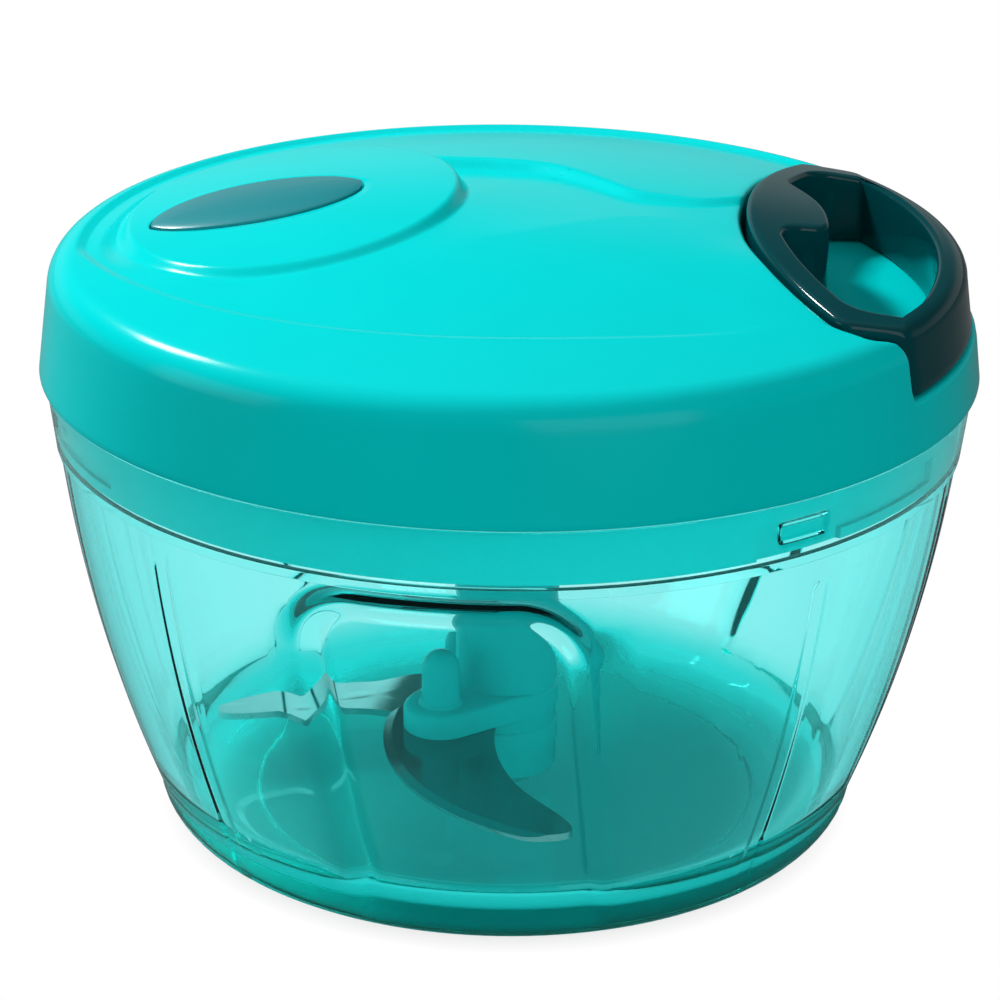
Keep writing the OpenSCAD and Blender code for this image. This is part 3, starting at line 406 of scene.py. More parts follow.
def bowl_grid():
    """The profile turned about the axis, with columns that follow the panels' sides, and radii drawn in by the
    depth of panels, grooves and lugs through smooth steps."""
    profile, foot_rows, outside_rows = bowl_profile()
    r, z = profile[:, 0], profile[:, 1]
    left, right = panel_side(z, r, -1), panel_side(z, r, 1)
    mm = np.degrees(1 / np.maximum(r, FOOT_R))
    whole = np.ones_like(r)
    places = [-60 * whole, -(GROOVE_AZ + 2.3) * whole, -(GROOVE_AZ - 2.3) * whole, left - 2.4 * mm, left,
              left + 1.6 * mm, left + 8.2 * mm, right - 8.2 * mm, right - 1.6 * mm, right, right + 1.6 * mm,
              (GROOVE_AZ - 8) * whole, (GROOVE_AZ - 2.3) * whole, (GROOVE_AZ + 2.3) * whole, 60 * whole]
    off = stops(places, [4, 22, 9, 6, 5, 14, 8, 14, 5, 4, 8, 12, 22, 4]).T
    r, z = np.repeat(r[:, None], off.shape[1], 1), np.repeat(z[:, None], off.shape[1], 1)
    across = r * np.sin(np.radians(off))
    row = np.arange(len(profile))[:, None]
    gap = panel_gap(across, z)
    outer = (row >= foot_rows) & (row < outside_rows) & (z < COLLAR_Z - 0.3)
    inner = (row >= outside_rows) & (z < LEDGE_Z - 0.2) & (r > BOSS_R + 2)
    side = np.where(across < -PANEL_LEAN / 2, *PANEL_SIDE_STEPS)
    step = PANEL_TOP_STEP + (side - PANEL_TOP_STEP) * smooth((z - 6) / 6) * (1 - smooth((z - 36) / 14))
    deep = PANEL_DEPTH * (0.3 + 0.7 * smooth((z - 4) / 9))
    sink = np.where(outer, deep * (1 - smooth(gap / step + 0.5)), 0)
    sink += np.where(inner, deep * (1 - smooth((gap - PANEL_DEPTH) / PANEL_IN_STEP + 0.5)), 0)
    for side in (-1, 1):
        x = r * np.sin(np.radians(off - side * GROOVE_AZ))
        end = np.clip(z, PANEL_LOW_Z, PANEL_TOP_Z - GROOVE_HALF)
        d = np.hypot(x, z - end)
        sink += np.where(outer, GROOVE_DEPTH * (1 - smooth((d - GROOVE_FLAT) / GROOVE_FLANK)), 0)
    x = r * np.sin(np.radians(off - (LUG_AZ - PANEL_AZ)))
    box = np.maximum(np.abs(x) - LUG_HALF, np.maximum(LUG_LOW - z, z - LUG_HIGH))
    lug = LUG_DEPTH * (1 - smooth(box / LUG_EDGE + 0.5))
    sink += np.where((row >= outside_rows) & (z > LEDGE_Z + 0.3), lug, 0)
    sectors = [place3(turn(r - sink, off + PANEL_AZ + 360 / FOLD * i), z)[:, :-1] for i in range(FOLD)]
    grid = np.concatenate(sectors, 1)
    return np.concatenate([grid, grid[:, :1]], 1)


piece("clear_bowl", [bowl_grid()], "bowl", bowl_finish, ["bowl"], sharp=50)

# The lid's moulded relief, as curves seen from above
RIM_STEP_R, SWOOSH_C, SWOOSH_R, SWOOSH_SKEW = 59.0, (-1.0, 15.0), 61.0, 7.0
RING = through([(-52, -16), (-55, -6), (-55, 4.5), (-50.9, 21.6), (-39.2, 34.6), (-26.4, 38.3), (-13.2, 30.5),
                (-1.7, 27.5), (5.2, 24.5), (12, 16.6), (16.4, 11.2), (21.7, 9.3), (27, 8.9), (32, 11.9), (36, 16)])
CREST = through([(-12, -17), (-1.5, -11.7), (5, -7.3), (11.6, -2.6), (16.9, 0.2), (23.1, -0.2), (28.1, -4.2),
                 (31.7, -8.6), (35, -13)])
RIM_DROP, RING_DROP, VALLEY = 0.7, 0.6, 0.9
RIM_STEP, RING_STEP, OVAL_STEP, RING_FADE = 1.6, 2.4, 2.0, 32.0
EDGE_ROUND = 0.7


def oval_reach(x, y):
    """Distance outside the oval, near its edge: the scaled radius less one, over its slope."""
    a = np.radians(OVAL_ANGLE)
    u, v = x - OVAL_C[0], y - OVAL_C[1]
    p, q = (u * np.cos(a) + v * np.sin(a)) / OVAL_A, (v * np.cos(a) - u * np.sin(a)) / OVAL_B
    k = np.hypot(p, q)
    return (k - 1) * k / np.maximum(np.hypot(p / OVAL_A, q / OVAL_B), 1e-6)


def dome(x, y):
    """Height of the lid's plain dome, a sphere of 323 mm."""
    return CROWN_Z - DOME_R + np.sqrt(DOME_R**2 - x**2 - y**2)


def relief(x, y):
    """Height that the moulding adds to the dome: steps down inside the rim and in front of the ring, a slope down
    from the crest to the ring's foot, and the raised oval."""
    swoosh_x = SWOOSH_C[0] + SWOOSH_SKEW * smooth((x + 10) / 50)
    rim = np.maximum(np.hypot(x, y) - RIM_STEP_R, np.hypot(x - swoosh_x, y - SWOOSH_C[1]) - SWOOSH_R)
    front = (0.6 + 0.4 * smooth((y + 30) / 30)) * (1 - smooth((x - 22) / 16) * smooth((-y - 5) / 15))
    h = -RIM_DROP * front * (1 - smooth(rim / RIM_STEP + 0.5))
    inside = -beside(x, y, RING)
    start = np.maximum(smooth((y + 16) / 14), smooth((x + 45) / 15))
    h -= RING_DROP * start * smooth(inside / RING_STEP + 0.5) * (1 - smooth(inside / RING_FADE))
    behind = beside(x, y, CREST)
    share = np.clip(behind, 0, None) / np.maximum(np.clip(behind, 0, None) + np.clip(inside, 0, None), 1e-6)
    run = (1 - smooth((x + 2) / 34)) * smooth((x + 14) / 6)
    h -= VALLEY * run * share * smooth(inside / RING_STEP + 0.5)
    on = 1 - smooth(oval_reach(x, y) / OVAL_STEP + 0.5)
    return h * (1 - on) + OVAL_H * on


def edge_drop(d):
    """How far a rounded edge lies below the sharp one at distance d from it."""
    return EDGE_ROUND - np.sqrt(EDGE_ROUND**2 - np.clip(EDGE_ROUND - d, 0, EDGE_ROUND)**2)


def ray_to_circle(p, u, c, r):
    """Distance along unit rays u from p, inside the circle, to the circle of radius r about c."""
    w = p - np.asarray(c)
    b = u @ w
    return -b + np.sqrt(b * b + r * r - w @ w)


def notch_azimuth(r, inset):
    """Angle about the axis of the notch's side at a radius: parallel sides, flared a little at the dome's end."""
    flare = FLARE_DEGREES * (1 - smooth((r - FLARE_R) / FLARE_RUN))
    return np.degrees(np.arcsin((NOTCH_HALF + inset) / r)) + flare


def bow(c, r, half, round_r, first, counts):
    """Outline from a front side round to the back one: a round corner from the angle first, the arc of radius r
    about c, and the same mirrored, with counts points on each corner and half of the arc."""
    corner = np.array([c[0] - np.sqrt((r - round_r)**2 - (half - round_r)**2), round_r - half])
    lean = bearing(*(corner - c))
    front = np.vstack([arc(corner, round_r, first, lean, counts[0]), arc(c, r, lean, -180, counts[1])[1:]])
    return np.vstack([front, front[-2::-1] * (1, -1)])


def notch_line(rim, inset):
    """The notch's outline, grown by a depth, between its front and back rim corners; rim is the back one."""
    inner = bow(NOTCH_C, NOTCH_R + inset, NOTCH_HALF + inset, NOTCH_ROUND + inset, -105, (15, 112))
    front = rim * (1, -1)
    side = front + np.linspace(0, 1, 7)[1:-1, None] * (inner[0] - front)
    return np.vstack([side, inner, side[::-1] * (1, -1)])


def leaf_reach(u):
    """Distance from the leaf's middle to its edge along rays u: the nearer of two arcs, with blunted tips."""
    tip = turn(1.0, LEAF_ANGLE + 90) * (LEAF_ARC - LEAF_HALF)
    sides = np.minimum(*[ray_to_circle(np.zeros(2), u, s * tip, LEAF_ARC) for s in (-1, 1)])
    ahead = u @ turn(1.0, LEAF_ANGLE)
    end = np.where(ahead > 0, LEAF_TIPS[1], LEAF_TIPS[0]) / np.maximum(np.abs(ahead), 0.2)
    return (sides**-9 + end**-9)**(-1 / 9)


shoulder_z = CROWN_Z - DOME_R
slope = np.array([-np.sin(np.radians(DRAFT)), np.cos(np.radians(DRAFT))])
start = np.array([LID_R, LID_Z - shoulder_z]) - SHOULDER_R * np.array([slope[1], -slope[0]])
along = start @ slope
up = -along + np.sqrt(along**2 - start @ start + (DOME_R - SHOULDER_R)**2)
shoulder_c = start + up * slope + np.array([0, shoulder_z])
DOME_TILT = bearing(shoulder_c[0], shoulder_c[1] - shoulder_z)


def side_r(z, inset=0.0):
    """Radius of the lid's drafted side at a height, set in by a depth."""
    return LID_R - (z - LID_Z) * np.tan(np.radians(DRAFT)) - inset / np.cos(np.radians(DRAFT))


def lid_shell(inset, fine):
    """One skin of the lid from a pole under the leaf to the foot of its side. Columns run out on rays to the
    dome's end or to the notch's edge; then down the round shoulder and the drafted side, or down the notch's wall
    and out over its floor; edges are rounded by lowering points near them."""
    floor_z, round_r = NOTCH_Z - inset, SHOULDER_R - inset
    a = np.linspace(DOME_TILT, DRAFT, 15 if fine else 6)
    skin = shoulder_c + turn(round_r, a)
    end_r = skin[0, 0]
    corner = notch_azimuth(end_r, inset)
    near = np.array([0, 0.03, 0.12, 0.25, 0.42, 0.65, 1.0, 2.0, 3.5])
    outer = np.concatenate([corner + near, np.linspace(corner + 5.5, 354.5 - corner, 200), 360 - corner - near[::-1]])
    mouth = np.linspace(end_r + 6, end_r, 12)
    mouth = turn(mouth, -notch_azimuth(mouth, inset))
    inner = notch_line(turn(end_r, corner), inset)
    edge = np.vstack([mouth, inner, mouth[::-1] * (1, -1)])
    goal = np.vstack([turn(end_r, outer), inner])
    is_in = np.arange(len(goal)) >= len(outer)
    way = goal - LEAF_C
    far = np.hypot(way[:, 0], way[:, 1])
    u = way / far[:, None]

    # Top, out to the dome's end or the notch's edge
    if fine:
        leaf = leaf_reach(u)
        t = np.radians(OVAL_ANGLE)
        turned = np.array([[np.cos(t) / OVAL_A, np.sin(t) / OVAL_A], [-np.sin(t) / OVAL_B, np.cos(t) / OVAL_B]])
        ru, rp = u @ turned.T, turned @ (LEAF_C - OVAL_C)
        k = (ru * ru).sum(1)
        oval = (-(ru @ rp) + np.sqrt((ru @ rp)**2 + k * (1 - rp @ rp))) / k
        brim = far - EDGE_ROUND * np.array([1, 0.7, 0.45, 0.25, 0.1, 0.03, 0])[:, None]
        s = np.concatenate([stops([0 * far, leaf], [6]), leaf + np.array([0.02, 0.08])[:, None],
                            stops([leaf + 0.2, oval - 1.7, oval + 1.7, far - 1.5], [10, 15, 58]), brim])
        drop = np.zeros((len(s), 1))
        drop[:9, 0] = [-LEAF_T] * 7 + [-0.2, -0.06]
    else:
        s, drop = np.linspace(0, 1, 12)[:, None] * far, 0
    xy = LEAF_C + s[..., None] * u
    x, y = xy[..., 0], xy[..., 1]
    height = dome(x, y) + relief(x, y) + drop if fine else shoulder_z + np.sqrt((DOME_R - inset)**2 - x**2 - y**2)
    if fine:
        close = x > 28
        height[close] -= edge_drop(beside(x[close], y[close], edge))
    top = place3(xy, height)

    # Shoulder and side, and the notch's wall
    down = stops([skin[-1, 1], floor_z + 0.6, floor_z], [4, 2] if fine else [1, 1])[1:]
    skin = np.vstack([skin[1:], np.stack([side_r(down, inset), down], -1)])
    a = np.concatenate([a[1:], np.full(len(down), DRAFT)])[:, None]
    shift = (notch_azimuth(skin[:, 0], inset) - corner)[:, None]
    theta = (outer + shift * smooth(1 - (outer - corner) / 15) - shift * smooth(1 - (360 - corner - outer) / 15))
    xy = turn(skin[:, :1], theta)
    lift = 0 * theta
    if fine:
        close = (xy[..., 0] > 40) & (np.abs(xy[..., 1]) < 44)
        lift[close] = edge_drop(beside(xy[..., 0][close], xy[..., 1][close], edge))
        lift *= smooth((skin[:, 1:] - floor_z) / 2)
    r = skin[:, :1] - lift * np.cos(np.radians(a))
    z = skin[:, 1:] - lift * np.sin(np.radians(a)) * (a - DRAFT) / (DOME_TILT - DRAFT)
    side = place3(turn(r, theta), z)
    edge_z = np.concatenate([top[-1:, 0, 2], side[:, 0, 2]])
    share = ((edge_z - floor_z) / (edge_z[0] - floor_z))[1:, None]
    wall = place3(np.stack([notch_line(p, inset) for p in side[:, 0, :2]]),
                  floor_z + (top[-1, is_in, 2] - floor_z) * share)
    walls = np.concatenate([side, wall], 1)

    # Floor of the notch, out to the side again
    rim = notch_azimuth(side_r(floor_z, inset), inset)
    azimuth = np.concatenate([theta[-1], 360 + np.linspace(-rim, rim, 263)[1:-1]])
    lip = EDGE_ROUND if fine else 0.05
    out_r = side_r(floor_z, inset)
    t = np.linspace(0, 1, 9 if fine else 4)[1:, None, None]
    flat_end = turn(out_r - lip, azimuth[is_in])
    flat = place3(wall[-1, :, :2] + t * (flat_end - wall[-1, :, :2]), floor_z)
    k = np.radians(np.linspace(0, 90, 6))[1:, None]
    curl = place3(turn(out_r - lip * (1 - np.sin(k)), azimuth[is_in]), floor_z - lip * (1 - np.cos(k)))
    floor = np.concatenate([flat, curl])
    stay = np.repeat(side[-1:], len(floor), 0)
    floors = np.concatenate([stay, floor], 1)

    # Lower side
    last = LID_Z + 0.25 if fine else SEAL_TOP
    foot = np.linspace(floor_z - lip, last, 9 if fine else 3)[1:, None]
    lower = place3(turn(side_r(foot, inset), azimuth), foot)
    return np.concatenate([top, walls, floors, lower]), azimuth


def lid_grid():
    """Outer skin, rounded rim, seat of the seal and inner skin in one closed grid."""
    shell, azimuth = lid_shell(0.0, True)
    lining, _ = lid_shell(LID_WALL, False)
    rim = np.array([(LID_R - 0.06, LID_Z + 0.08), (LID_R - 0.25, LID_Z), (SEAL_R + 0.1, LID_Z), (SEAL_R, LID_Z + 0.1),
                    (SEAL_R, SEAL_TOP)])
    seat = place3(turn(rim[:, :1], azimuth), rim[:, 1:])
    grid = np.concatenate([shell, seat, lining[::-1]])
    return np.concatenate([grid, grid[:, :1]], 1)


piece("lid_shell", [lid_grid()], "lid", abs_finish, ["lid_cover"], sharp=45)


def leaf_grid():
    """Pillow of the badge: rays from its middle out to its edge, less a gap; the top falls to the edge as the root
    of one less the share squared, and the foot stands on the floor of its recess."""
    u = turn(1.0, np.linspace(0, 360, 241))
    far = leaf_reach(u) - LEAF_GAP
    q = np.sin(np.radians(np.linspace(0, 90, 19)))
    xy = LEAF_C + (q[:, None] * far)[..., None] * u
    plain = dome(xy[..., 0], xy[..., 1]) + OVAL_H
    top = place3(xy, plain + 0.1 + LEAF_RISE * np.sqrt(1 - 0.98 * q[:, None]**2))
    foot = place3(xy[[-1, 0]], plain[[-1, 0]] - LEAF_T + 0.02)
    return np.concatenate([top, foot])


piece("leaf_badge", [leaf_grid()], "lid", badge_finish, ["leaf_inlay"], sharp=50)


def soften(loop, reach):
    """A closed loop of evenly spaced points, each the mean of its neighbours under a bell of that many points."""
    n = np.arange(-4 * reach, 4 * reach + 1)
    bell = np.exp(-n**2 / (2 * reach**2))
    return sum(w * np.roll(loop, k, axis=-2) for w, k in zip(bell / bell.sum(), n.astype(int)))


def even(path, n):
    """n points at even steps along a path, its first end included and its last one left out."""
    path = np.asarray(path, float)
    gone = np.concatenate([[0], np.cumsum(np.hypot(*np.diff(path, axis=0).T))])
    at = np.linspace(0, gone[-1], n, endpoint=False)
    return np.stack([np.interp(at, gone, path[:, i]) for i in (0, 1)], -1)


def handle_grid():
    """Ring of the handle: an outer and an inner loop of matched columns, with rows up the outer wall, round the
    edge, over a crowned top, round the inner edge and down the inner wall. Loops are softened so that corners are
    round, the back one most."""
    runs = (150, 90, 150, 230)
    tongue = through([(39.8, 20.5), (41.8, 15.6), (43.0, 12.1), (43.7, 8.8), (44.0, 5.5), (44.0, 1.5), (43.6, -0.9),
                      (42.2, -2.1), (39.6, -2.6), (37.7, -3.8), (37.0, -6.5)])

    def loop(front_to_back, root, tip, side):
        """Even runs from the back corner to a line's first root, along that line, on to the front corner, and
        back along a side."""
        back_to_front = front_to_back[::-1]
        y = back_to_front[:, 1]
        first, last = back_to_front[y > root[0, 1]], back_to_front[y < root[-1, 1]]
        return np.vstack([even(np.vstack([first, root[:1]]), runs[0]), even(tip, runs[1]),
                          even(np.vstack([root[-1:], last]), runs[2]), even(side, runs[3])])

    def outer_loop(z):
        """The notch's outline, less a gap, and the drafted side."""
        r = side_r(z, HANDLE_INSET)
        az = np.degrees(np.arcsin(HANDLE_SIDE / r))
        line = np.vstack([turn(r, -az)[None], notch_line(turn(r, az), -HANDLE_GAP), turn(r, az)[None]])
        reach = NOTCH_R - HANDLE_GAP
        y = np.linspace(tongue[0, 1], tongue[-1, 1], 60)
        facing = np.stack([NOTCH_C[0] - np.sqrt(reach**2 - y**2), y], -1)
        made = loop(line, facing, facing, turn(r, np.linspace(-az, az, 90)))
        place = np.arange(len(made))
        from_back = np.minimum(place, len(made) - place)
        return soften(made, 3) + smooth(1 - from_back / 40)[:, None] * (soften(made, 8) - soften(made, 3))

    line = bow(OPEN_C, OPEN_R, OPEN_HALF, OPEN_ROUND, -90, (15, 80))
    out_az = np.degrees(np.arcsin(OPEN_HALF / OPEN_OUT_R))
    out_side = arc(OPEN_OUT_C, OPEN_OUT_R, -out_az, out_az, 90)
    line = np.vstack([out_side[:1], line, out_side[-1:]])
    opening = soften(loop(line, tongue, tongue, out_side), 2)

    def crown(xy):
        """Top of the handle: the dome, a little proud."""
        return dome(xy[..., 0], xy[..., 1]) + HANDLE_PROUD

    def inward(loop):
        """Unit steps to the left of the way round."""
        go = np.roll(loop, -1, 0) - np.roll(loop, 1, 0)
        go /= np.hypot(go[:, 0], go[:, 1])[:, None]
        return np.stack([-go[:, 1], go[:, 0]], -1)

    base = outer_loop(HANDLE_Z)
    n_out, n_in = inward(base), inward(opening)
    side = np.concatenate([np.zeros(sum(runs[:3])), np.ones(runs[3])])[:, None]
    edge_r = soften(HANDLE_EDGES[0] + (HANDLE_EDGES[1] - HANDLE_EDGES[0]) * side, 5)[:, 0]
    k = np.radians(np.linspace(0, 90, 8))[:, None, None]
    shelf = outer_loop(HANDLE_SHELF_Z)
    top_z = crown(shelf + n_out * edge_r[:, None])
    rows = [place3(base + n_out * 0.5, HANDLE_Z), place3(base + n_out * 0.15, HANDLE_Z + 0.12),
            place3(base, HANDLE_Z + HANDLE_FOOT)]
    for t in np.linspace(0.2, 0.8, 4):
        z = HANDLE_Z + t * (top_z - edge_r - HANDLE_Z)
        rows.append(place3(base + (shelf - base) * t, z))
    for a in k:
        rows.append(place3(shelf + n_out * edge_r[:, None] * (1 - np.cos(a)), top_z - edge_r * (1 - np.sin(a[:, 0]))))
    first, last = shelf + n_out * edge_r[:, None], opening - n_in * HANDLE_LIP
    for t in np.linspace(0, 1, 9)[1:]:
        xy = first + (last - first) * t
        rows.append(place3(xy, crown(xy)))
    lip_z = crown(last)
    for a in k[1:]:
        rows.append(place3(last + n_in * HANDLE_LIP * np.sin(a), lip_z - HANDLE_LIP * (1 - np.cos(a[:, 0]))))
    for z in np.linspace(lip_z - HANDLE_LIP, np.full_like(lip_z, HANDLE_Z + HANDLE_FOOT), 5)[1:]:
        rows.append(place3(opening, z))
    rows += [place3(opening - n_in * 0.15, HANDLE_Z + 0.12), place3(opening - n_in * 0.5, HANDLE_Z)]
    grid = np.stack(rows + [rows[0]])
    return np.concatenate([grid, grid[:, :1]], 1)


piece("handle_ring", [handle_grid()], "handle", dark_finish, ["pull_handle"], sharp=50)

# Blades: a crescent with a ground band along its outward curve
BLADE_T, BLADE_EDGE, BAND = 1.0, 0.5, 1.2
EDGE_C, EDGE_R, BACK_C, BACK_R = np.array([14.4, 15.0]), 35.0, np.array([20.1, 31.2]), 36.3
HEEL_C, HEEL_R, REACH, COLUMN_R = np.array([22.0, -9.0]), 22.5, 43.0, 7.3
BLADE_MID, HINGE_Y, PITCH_FROM, PITCH_RUN = np.array([20.0, -12.0]), -8.0, 14.0, 8.0
LOBE_AT, LOBE_R, LOBE_T, PEG_R, PEG_H = np.array([7.2, -11.0]), 5.3, 3.5, 2.7, 8.0
BLADES = {"upper_blade": (-78.0, 13.8, 0.0), "lower_blade": (176.0, 8.2, 0.13)}


def ray_round(u, c, r):
    """Distance along rays u from the blade's middle to a circle that lies beyond it, or far away where they miss."""
    w = BLADE_MID - c
    b = u @ w
    free = b * b + r * r - w @ w
    hit = -b - np.sqrt(np.maximum(free, 0))
    return np.where((free > 0) & (hit > 0), hit, 1e3)


def blade_grid(angle, z, pitch):
    """Rays from the blade's middle to the nearest of its arcs, softened at the corners; the top falls from full
    thickness to a thin edge over the ground band, and the wing is pitched by a slope beyond the spindle's lobe."""
    u = turn(1.0, np.linspace(0, 360, 721)[:-1])
    bounds = [ray_to_circle(BLADE_MID, u, c, r) for c, r in
              ((EDGE_C, EDGE_R), (HEEL_C, HEEL_R), (np.zeros(2), REACH))]
    bounds += [ray_round(u, BACK_C, BACK_R), ray_round(u, np.zeros(2), COLUMN_R + 0.05)]
    far = np.min(bounds, 0)
    far = soften(far[:, None], 5)[:, 0]
    band = np.minimum(ray_to_circle(BLADE_MID, u, EDGE_C, EDGE_R - BAND), far - 0.03)
    s = stops([0 * far, band, far], [5, 4])
    xy = BLADE_MID + s[..., None] * u
    gap = EDGE_R - np.hypot(*np.moveaxis(xy - EDGE_C, -1, 0))
    high = BLADE_EDGE + (BLADE_T - BLADE_EDGE) * np.clip(gap / BAND, 0, 1)
    base = z + pitch * (xy[..., 1] - HINGE_Y) * smooth((xy[..., 0] - PITCH_FROM) / PITCH_RUN)
    grid = flat_turn(np.concatenate([place3(xy, base + high), place3(xy, base)[::-1]]), angle)
    return np.concatenate([grid, grid[:, :1]], 1)


for name, (angle, z, pitch) in BLADES.items():
    piece("steel_" + name, [blade_grid(angle, z, pitch)], "blades", BLADE_STEEL[name], [name],
          sharp=20)

# Spindle: a column with a hole for the pivot pin, coupling dogs on top, and a lobe with a peg over each blade
COLUMN_Z, COLUMN_TOP, DOG_TOP, DOG_R, DOG_CORE, DOG_HALF = 5.0, 58.3, 62.7, 5.8, 3.0, 17.5


def lobe_grid(angle, z):
    """Outline round the column and the lobe and their two tangents, carried up with a rounded upper edge."""
    reach = np.hypot(*LOBE_AT)
    side = np.degrees(np.arccos((COLUMN_R - LOBE_R) / reach))
    column_r = COLUMN_R + 0.25
    loop = np.vstack([arc((reach, 0), LOBE_R, -side, side, 48), arc((0, 0), column_r, side, 360 - side, 72)])
    loop = np.vstack([loop, loop[:1]])
    middle = np.array([reach / 2, 0])
    go = loop - middle
    steps = [(0, 0), (1, 0), (1, LOBE_T - 0.8), (0.985, LOBE_T - 0.4), (0.95, LOBE_T - 0.12), (0.9, LOBE_T),
             (0, LOBE_T)]
    flat = np.stack([place3(middle + go * k, z + h) for k, h in steps])
    return flat_turn(flat, angle + bearing(*LOBE_AT))


def peg_grid(angle, z):
    """Peg with a round head, standing on its lobe."""
    top = z + LOBE_T + PEG_H
    head = arc((0, top - PEG_R), PEG_R, 0, 90, 9)
    profile = np.vstack([[(0, z + 0.5), (PEG_R + 0.5, z + 0.5), (PEG_R + 0.5, z + LOBE_T), (PEG_R, z + LOBE_T + 0.6)],
                         head])
    return revolve(profile, 41) + place3(flat_turn(place3(LOBE_AT[None], 0), angle)[:, :2], 0)


column = eased([(0, 14), (PIN_R + 0.05, 14), (PIN_R + 0.05, COLUMN_Z), (COLUMN_R, COLUMN_Z), (COLUMN_R, 20),
                (COLUMN_R, 40), (COLUMN_R, COLUMN_TOP), (0, COLUMN_TOP)], 0.6)
dog_az = np.concatenate([120 * i + np.array([-60, -DOG_HALF - 0.5, -DOG_HALF, 0, DOG_HALF, DOG_HALF + 0.5])
                         for i in range(FOLD)])
dog_az = np.append(dog_az, 300)
dog_r = np.where(np.abs((dog_az + 60) % 120 - 60) <= DOG_HALF, DOG_R, DOG_CORE)
dogs = np.stack([place3(turn(dog_r * k, dog_az), h) for k, h in
                 ((0, COLUMN_TOP - 0.5), (1, COLUMN_TOP - 0.5), (1, DOG_TOP - 0.4), (0.94, DOG_TOP), (0, DOG_TOP))])
spindle = [revolve(column), dogs]
for angle, z, _ in BLADES.values():
    base = z + BLADE_T + 0.05
    spindle += [lobe_grid(angle, base), peg_grid(angle, base)]
piece("spindle_column", spindle, "blades", spindle_shaded_finish, ["blade_spindle"])

# Cord: turns on the reel, the lead through the eyelet, and the knot in the handle
left = np.linspace(CORD_TURNS, 0, 241)
winding = place3(turn(WIND_R, LEAD_AZ + 3 + 360 * left), CORD_Z - TURN_PITCH * left)
piece("cord_turns", [tube(winding, CORD_R)], "reel", cord_finish, ["cord_winding"])
route = through([tuple(turn(WIND_R, LEAD_AZ)), (22, 9.8), (24, 6.6), (25.8, 3.6), (27.1, 1.6), (28.6, 0.2), (30.6, 0),
                 (33, 0), (35.5, 0), (38, 0)])
lead = piece("cord_run", [tube(place3(route, CORD_Z), CORD_R)], None, cord_finish, ["cord_lead"])
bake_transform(lead)
t = np.linspace(0, 2 * np.pi, 145)
knot = KNOT_SIZE * np.stack([np.sin(t) + 2 * np.sin(2 * t), np.cos(t) - 2 * np.cos(2 * t), -1.6 * np.sin(3 * t)], -1)
piece("cord_tied", [tube(knot + (KNOT_X, 0, CORD_Z), KNOT_CORD_R)], "handle", cord_finish, ["cord_knot"])

# Finishes of the CAD nodes that show as they are
KEPT = {
    abs_finish: ["lid_base"], seal_finish: ["seal_ring"],
    reel_finish: ["cord_reel", "reel_cap"], dark_finish: ["drive_coupling"], spring_finish: ["recoil_spring"],
    screw_finish: ["pivot_pin", "cord_eyelet", "lid_screws", "axle_washer", "axle_screw", "coupling_screws",
                   "blade_screws"],
}
for material, names in KEPT.items():
    for name in names:
        nodes[name].data.materials.clear()
        nodes[name].data.materials.append(material)

# Floor: matt paper, plain white to the eye and through the clear plastic, and dim under the chopper, as its shadow.
# Its own colour is dark, so that it throws little light back into the bowl.
SHADE_R, SHADE_LEVEL, GLOSS_SHARE = (0.034, 0.05), 0.38, 0.03
floor_finish, tree, shader = finish("white_paper", Roughness=0.9)
shader.inputs["Base Color"].default_value = linear("#525454")
spot = add(tree, "ShaderNodeTexCoord").outputs["Object"]
reach = add(tree, "ShaderNodeVectorMath", {0: spot}, operation="LENGTH").outputs["Value"]
away = add(tree, "ShaderNodeMapRange", {"Value": reach, "From Min": SHADE_R[0], "From Max": SHADE_R[1],
                                        "To Min": SHADE_LEVEL}).outputs["Result"]
rays = add(tree, "ShaderNodeLightPath")
faint = add(tree, "ShaderNodeMath", {0: rays.outputs["Is Glossy Ray"], 1: GLOSS_SHARE}, operation="MULTIPLY")
seen = rays.outputs["Is Camera Ray"]
for kind in (faint.outputs["Value"], rays.outputs["Is Transmission Ray"]):
    seen = add(tree, "ShaderNodeMath", {0: seen, 1: kind}, operation="MAXIMUM").outputs["Value"]
plain = add(tree, "ShaderNodeMath", {0: seen, 1: away}, operation="MULTIPLY").outputs["Value"]
glow = add(tree, "ShaderNodeEmission", {"Color": (1, 1, 1, 1), "Strength": 1.0}).outputs["Emission"]
mixed = add(tree, "ShaderNodeMixShader", {"Fac": plain, 1: shader.outputs["BSDF"], 2: glow})
tree.links.new(mixed.outputs["Shader"], tree.nodes["Material Output"].inputs["Surface"])
HALF_FLOOR, FLOOR_DROP = 3.0, 0.00005
corners = [(x * HALF_FLOOR, y * HALF_FLOOR, -FLOOR_DROP) for x, y in ((-1, -1), (1, -1), (1, 1), (-1, 1))]
ground = bpy.data.meshes.new("floor")
ground.from_pydata(corners, [], [(0, 1, 2, 3)])
ground.materials.append(floor_finish)
floor = bpy.data.objects.new("floor", ground)
bpy.context.scene.collection.objects.link(floor)

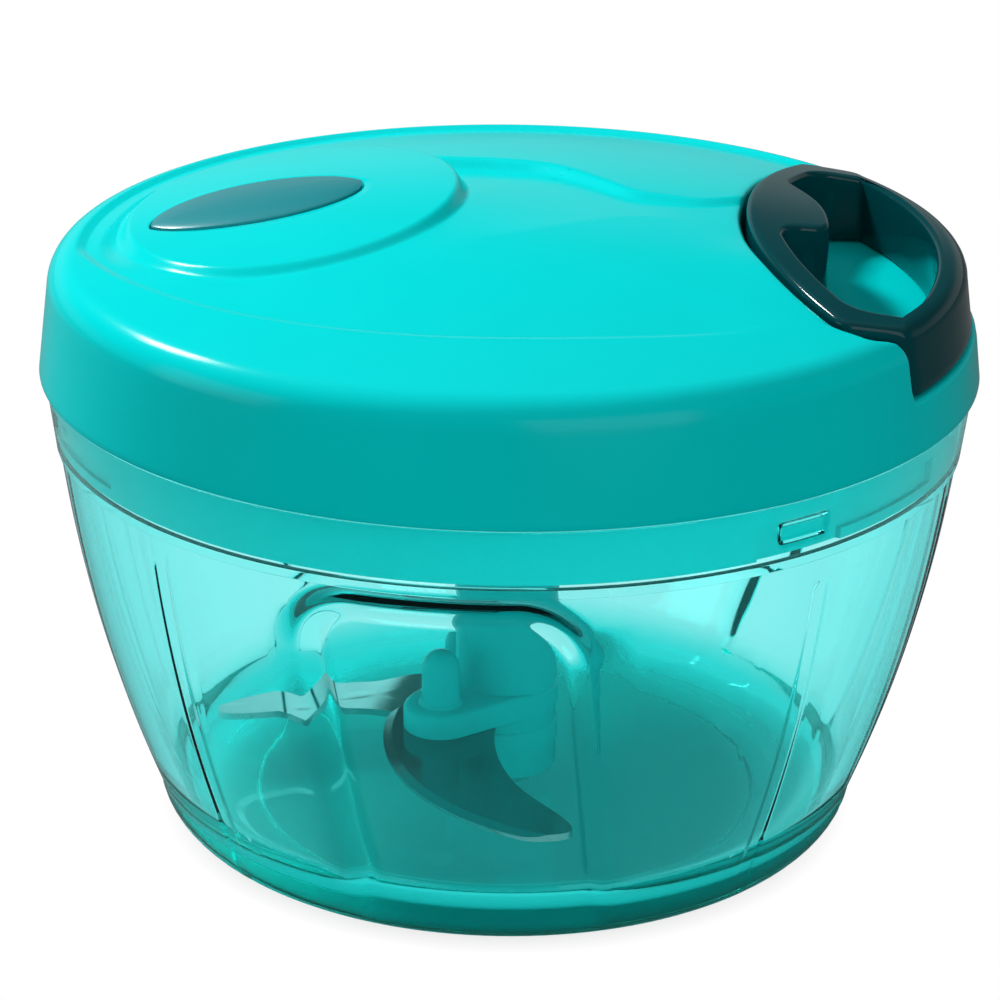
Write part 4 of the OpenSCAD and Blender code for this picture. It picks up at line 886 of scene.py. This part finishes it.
# World: a dim studio with a soft ceiling and a pale sweep low down behind, white where the eye or the clear plastic
# sees past the chopper. Bands are by the direction's height or depth, levels are strengths.
LOW_BAND, BACK_BAND, BACK_LEVEL = (0.14, 0.32), (-0.1, 0.6), (0.1, 0.26)
CEILING_BAND, CEILING_LEVEL = (0.5, 0.95), (0.06, 0.5)
world = bpy.data.worlds.new("studio")
bpy.context.scene.world = world
world.use_nodes = True
tree = world.node_tree
tree.nodes.clear()
toward = add(tree, "ShaderNodeTexCoord").outputs["Generated"]
parts = add(tree, "ShaderNodeSeparateXYZ", {"Vector": toward})
rays = add(tree, "ShaderNodeLightPath")
low, behind, ceiling = [
    add(tree, "ShaderNodeMapRange", {"Value": parts.outputs[way], "From Min": band[0], "From Max": band[1],
                                     "To Min": ends[0], "To Max": ends[1]}, interpolation_type=kind).outputs["Result"]
    for way, band, ends, kind in (("Z", LOW_BAND, (1.0, 0.0), "SMOOTHSTEP"), ("Y", BACK_BAND, BACK_LEVEL, "LINEAR"),
                                  ("Z", CEILING_BAND, CEILING_LEVEL, "LINEAR"))]
pale = add(tree, "ShaderNodeMath", {0: rays.outputs["Is Transmission Ray"], 1: behind}, operation="MAXIMUM")
level = add(tree, "ShaderNodeMath", {0: low, 1: pale.outputs["Value"], 2: ceiling}, operation="MULTIPLY_ADD")
level = add(tree, "ShaderNodeMath", {0: level.outputs["Value"], 1: rays.outputs["Is Camera Ray"]},
            operation="MAXIMUM")
sky = add(tree, "ShaderNodeBackground", {"Color": (1, 1, 1, 1), "Strength": level.outputs["Value"]})
tree.links.new(sky.outputs["Background"], add(tree, "ShaderNodeOutputWorld").inputs["Surface"])


def lamp(name, place, aim, size, watts):
    """Square soft light at a place, turned to a point."""
    made = bpy.data.objects.new(name, bpy.data.lights.new(name, "AREA"))
    made.data.size, made.data.energy = size, watts
    made.location = place
    made.rotation_mode = "QUATERNION"
    made.rotation_quaternion = (Vector(aim) - Vector(place)).to_track_quat("-Z", "Y")
    bpy.context.scene.collection.objects.link(made)


# A small key light high at the left behind for the highlights, and two soft fills
lamp("key", (-0.5, 0.42, 0.71), (0, 0, 0.05), 0.17, 9.6)
lamp("front_fill", (0.45, -1.0, 0.34), (0, 0, 0.05), 0.8, 5.2)
lamp("left_low", (-0.8, -0.25, 0.25), (0, 0, 0.04), 0.5, 1.8)

bpy.context.scene.view_settings.view_transform = "Standard"
